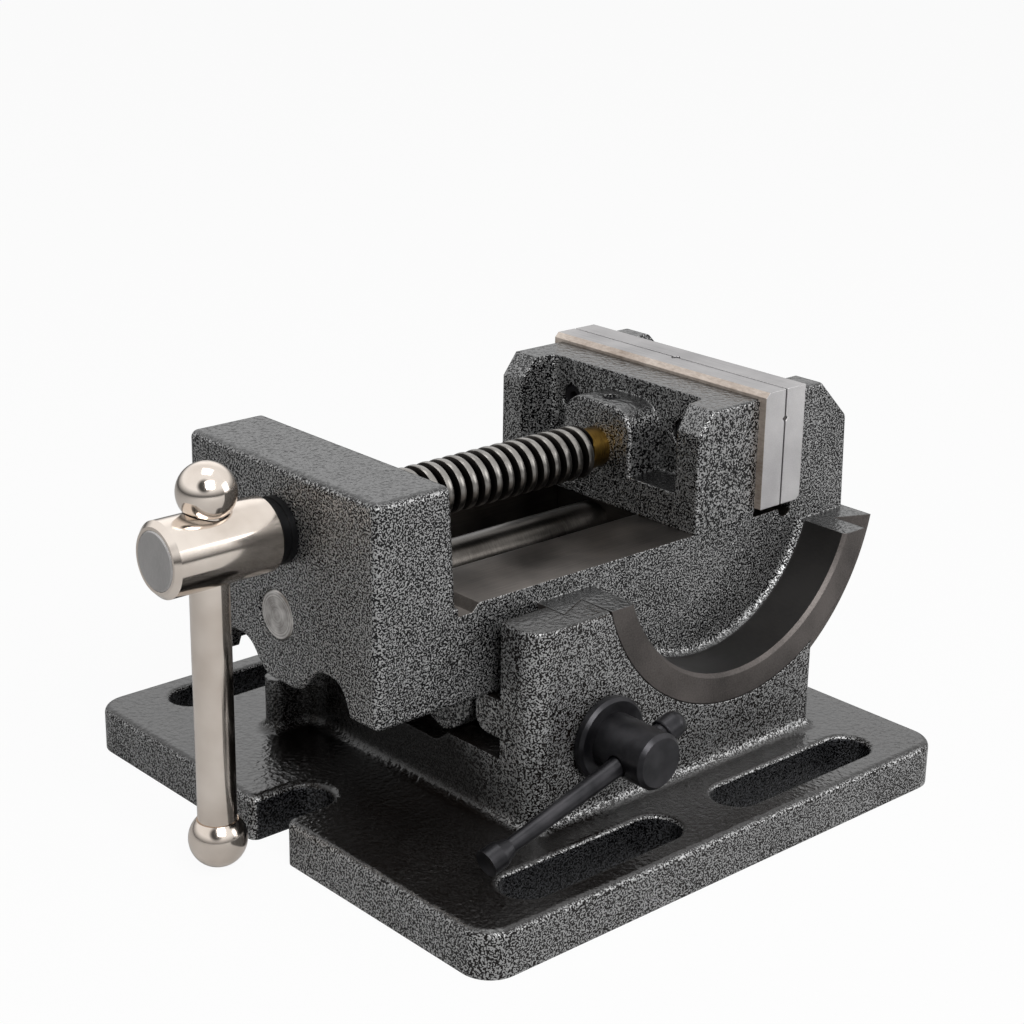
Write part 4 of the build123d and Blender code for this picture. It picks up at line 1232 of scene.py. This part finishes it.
@dataclass
class Studio:
    """The pale floor, soft lamps and the camera at the photograph's place."""

    azimuth_deg: float = 41.958
    elevation_deg: float = 19.266
    roll_deg: float = 0.933
    distance_mm: float = 802.1
    target_mm: Place = (70.3, 80.0, 51.9)
    lens_mm: float = 74.64
    sensor_mm: float = 36.0
    reach_m: float = 100.0
    floor_m: float = 30.0
    # The room's light: in the background, on matt faces, and in mirrors by height.
    background: float = 0.955
    matt_light: float = 0.1
    horizon_light: float = 0.12
    sky_light: float = 1.1
    sky_height: float = 0.34
    lamps: tuple[Lamp, ...] = (Lamp("key", (-0.42, -1.1, 1.1), 17.0),
                               Lamp("top", (0.1, 0.1, 1.7), 5.0),
                               Lamp("side", (1.2, -1.2, 0.6), 5.0))

    def patches(self) -> tuple[RoomPatch, RoomPatch]:
        """Places the two parts of the room that the metal mirrors.

        Returns:
            The dark room round the camera and the bright backdrop behind the vise.
        """
        return (RoomPatch(azimuth_deg=self.azimuth_deg + 180, elevation_deg=38.0,
                          begins=0.87, full=0.95, light=0.06),
                RoomPatch(azimuth_deg=self.azimuth_deg, elevation_deg=22.0,
                          begins=0.87, full=0.97, light=1.25))

    def camera(self) -> None:
        """Sets the camera at the photograph's viewing angle."""
        back = heading(self.azimuth_deg + 180, self.elevation_deg)
        right = Vector((0, 0, 1)).cross(back).normalized()
        up = back.cross(right)
        turn = math.radians(self.roll_deg)
        across = right * math.cos(turn) + up * math.sin(turn)
        upward = up * math.cos(turn) - right * math.sin(turn)
        data = bpy.data.cameras.new("camera")
        data.lens = self.lens_mm
        data.sensor_width = self.sensor_mm
        data.sensor_fit = "HORIZONTAL"
        data.clip_end = self.reach_m
        view = bpy.data.objects.new("camera", data)
        place = (Vector(self.target_mm) + back * self.distance_mm) * MM
        rows = Matrix((across, upward, back)).transposed().to_4x4()
        view.matrix_world = Matrix.Translation(place) @ rows
        bpy.context.collection.objects.link(view)
        bpy.context.scene.camera = view

    def floor(self) -> None:
        """Lays a pale floor under the vise."""
        bm = bmesh.new()
        bmesh.ops.create_grid(bm, x_segments=1, y_segments=1, size=self.floor_m / 2)
        object_from(bm, "floor", Finish.PAPER)

    def world(self) -> None:
        """Surrounds the vise with a white room that is dark at the horizon and round the camera."""
        world = bpy.data.worlds.new("studio")
        world.use_nodes = True
        tree = world.node_tree
        tree.nodes.clear()
        path = add_node(tree, "LightPath")
        toward = add_node(tree, "TexCoord").outputs["Generated"]
        height = add_node(tree, "SeparateXYZ", links={"Vector": toward})
        sky = add_node(tree, "MapRange", {},
                       {"From Min": 0.0, "From Max": self.sky_height,
                        "To Min": self.horizon_light, "To Max": self.sky_light},
                       {"Value": height.outputs["Z"]})
        mirrored = sky.outputs["Result"]
        for patch in self.patches():
            patched = add_node(tree, "Math", {"operation": "MULTIPLY"}, {},
                               {0: mirrored, 1: patch.factor(tree, toward)})
            mirrored = patched.outputs["Value"]
        lighting = add_node(tree, "MapRange", {}, {"To Min": self.matt_light},
                            {"Value": path.outputs["Is Glossy Ray"], "To Max": mirrored})
        strength = add_node(tree, "MapRange", {}, {"To Max": self.background},
                            {"Value": path.outputs["Is Camera Ray"],
                             "To Min": lighting.outputs["Result"]})
        room = add_node(tree, "Background", values={"Color": grey(1.0)},
                        links={"Strength": strength.outputs["Result"]})
        add_node(tree, "OutputWorld", links={"Surface": room.outputs["Background"]})
        bpy.context.scene.world = world

    def build(self) -> None:
        """Sets up the studio."""
        self.camera()
        self.floor()
        self.world()
        for lamp in self.lamps:
            lamp.build()
        bpy.context.scene.view_settings.view_transform = "Standard"


def main() -> None:
    """Builds every sub-assembly in order."""
    logging.basicConfig(level=logging.INFO, format="%(message)s")
    for assembly in (BaseAssembly(), BodyAssembly(), JawAssembly(), ScrewAssembly(),
                     HandleAssembly(), LockAssembly(), Studio()):
        assembly.build()
        LOG.info("built %s", type(assembly).__name__)


if __name__ == "__main__":
    main()
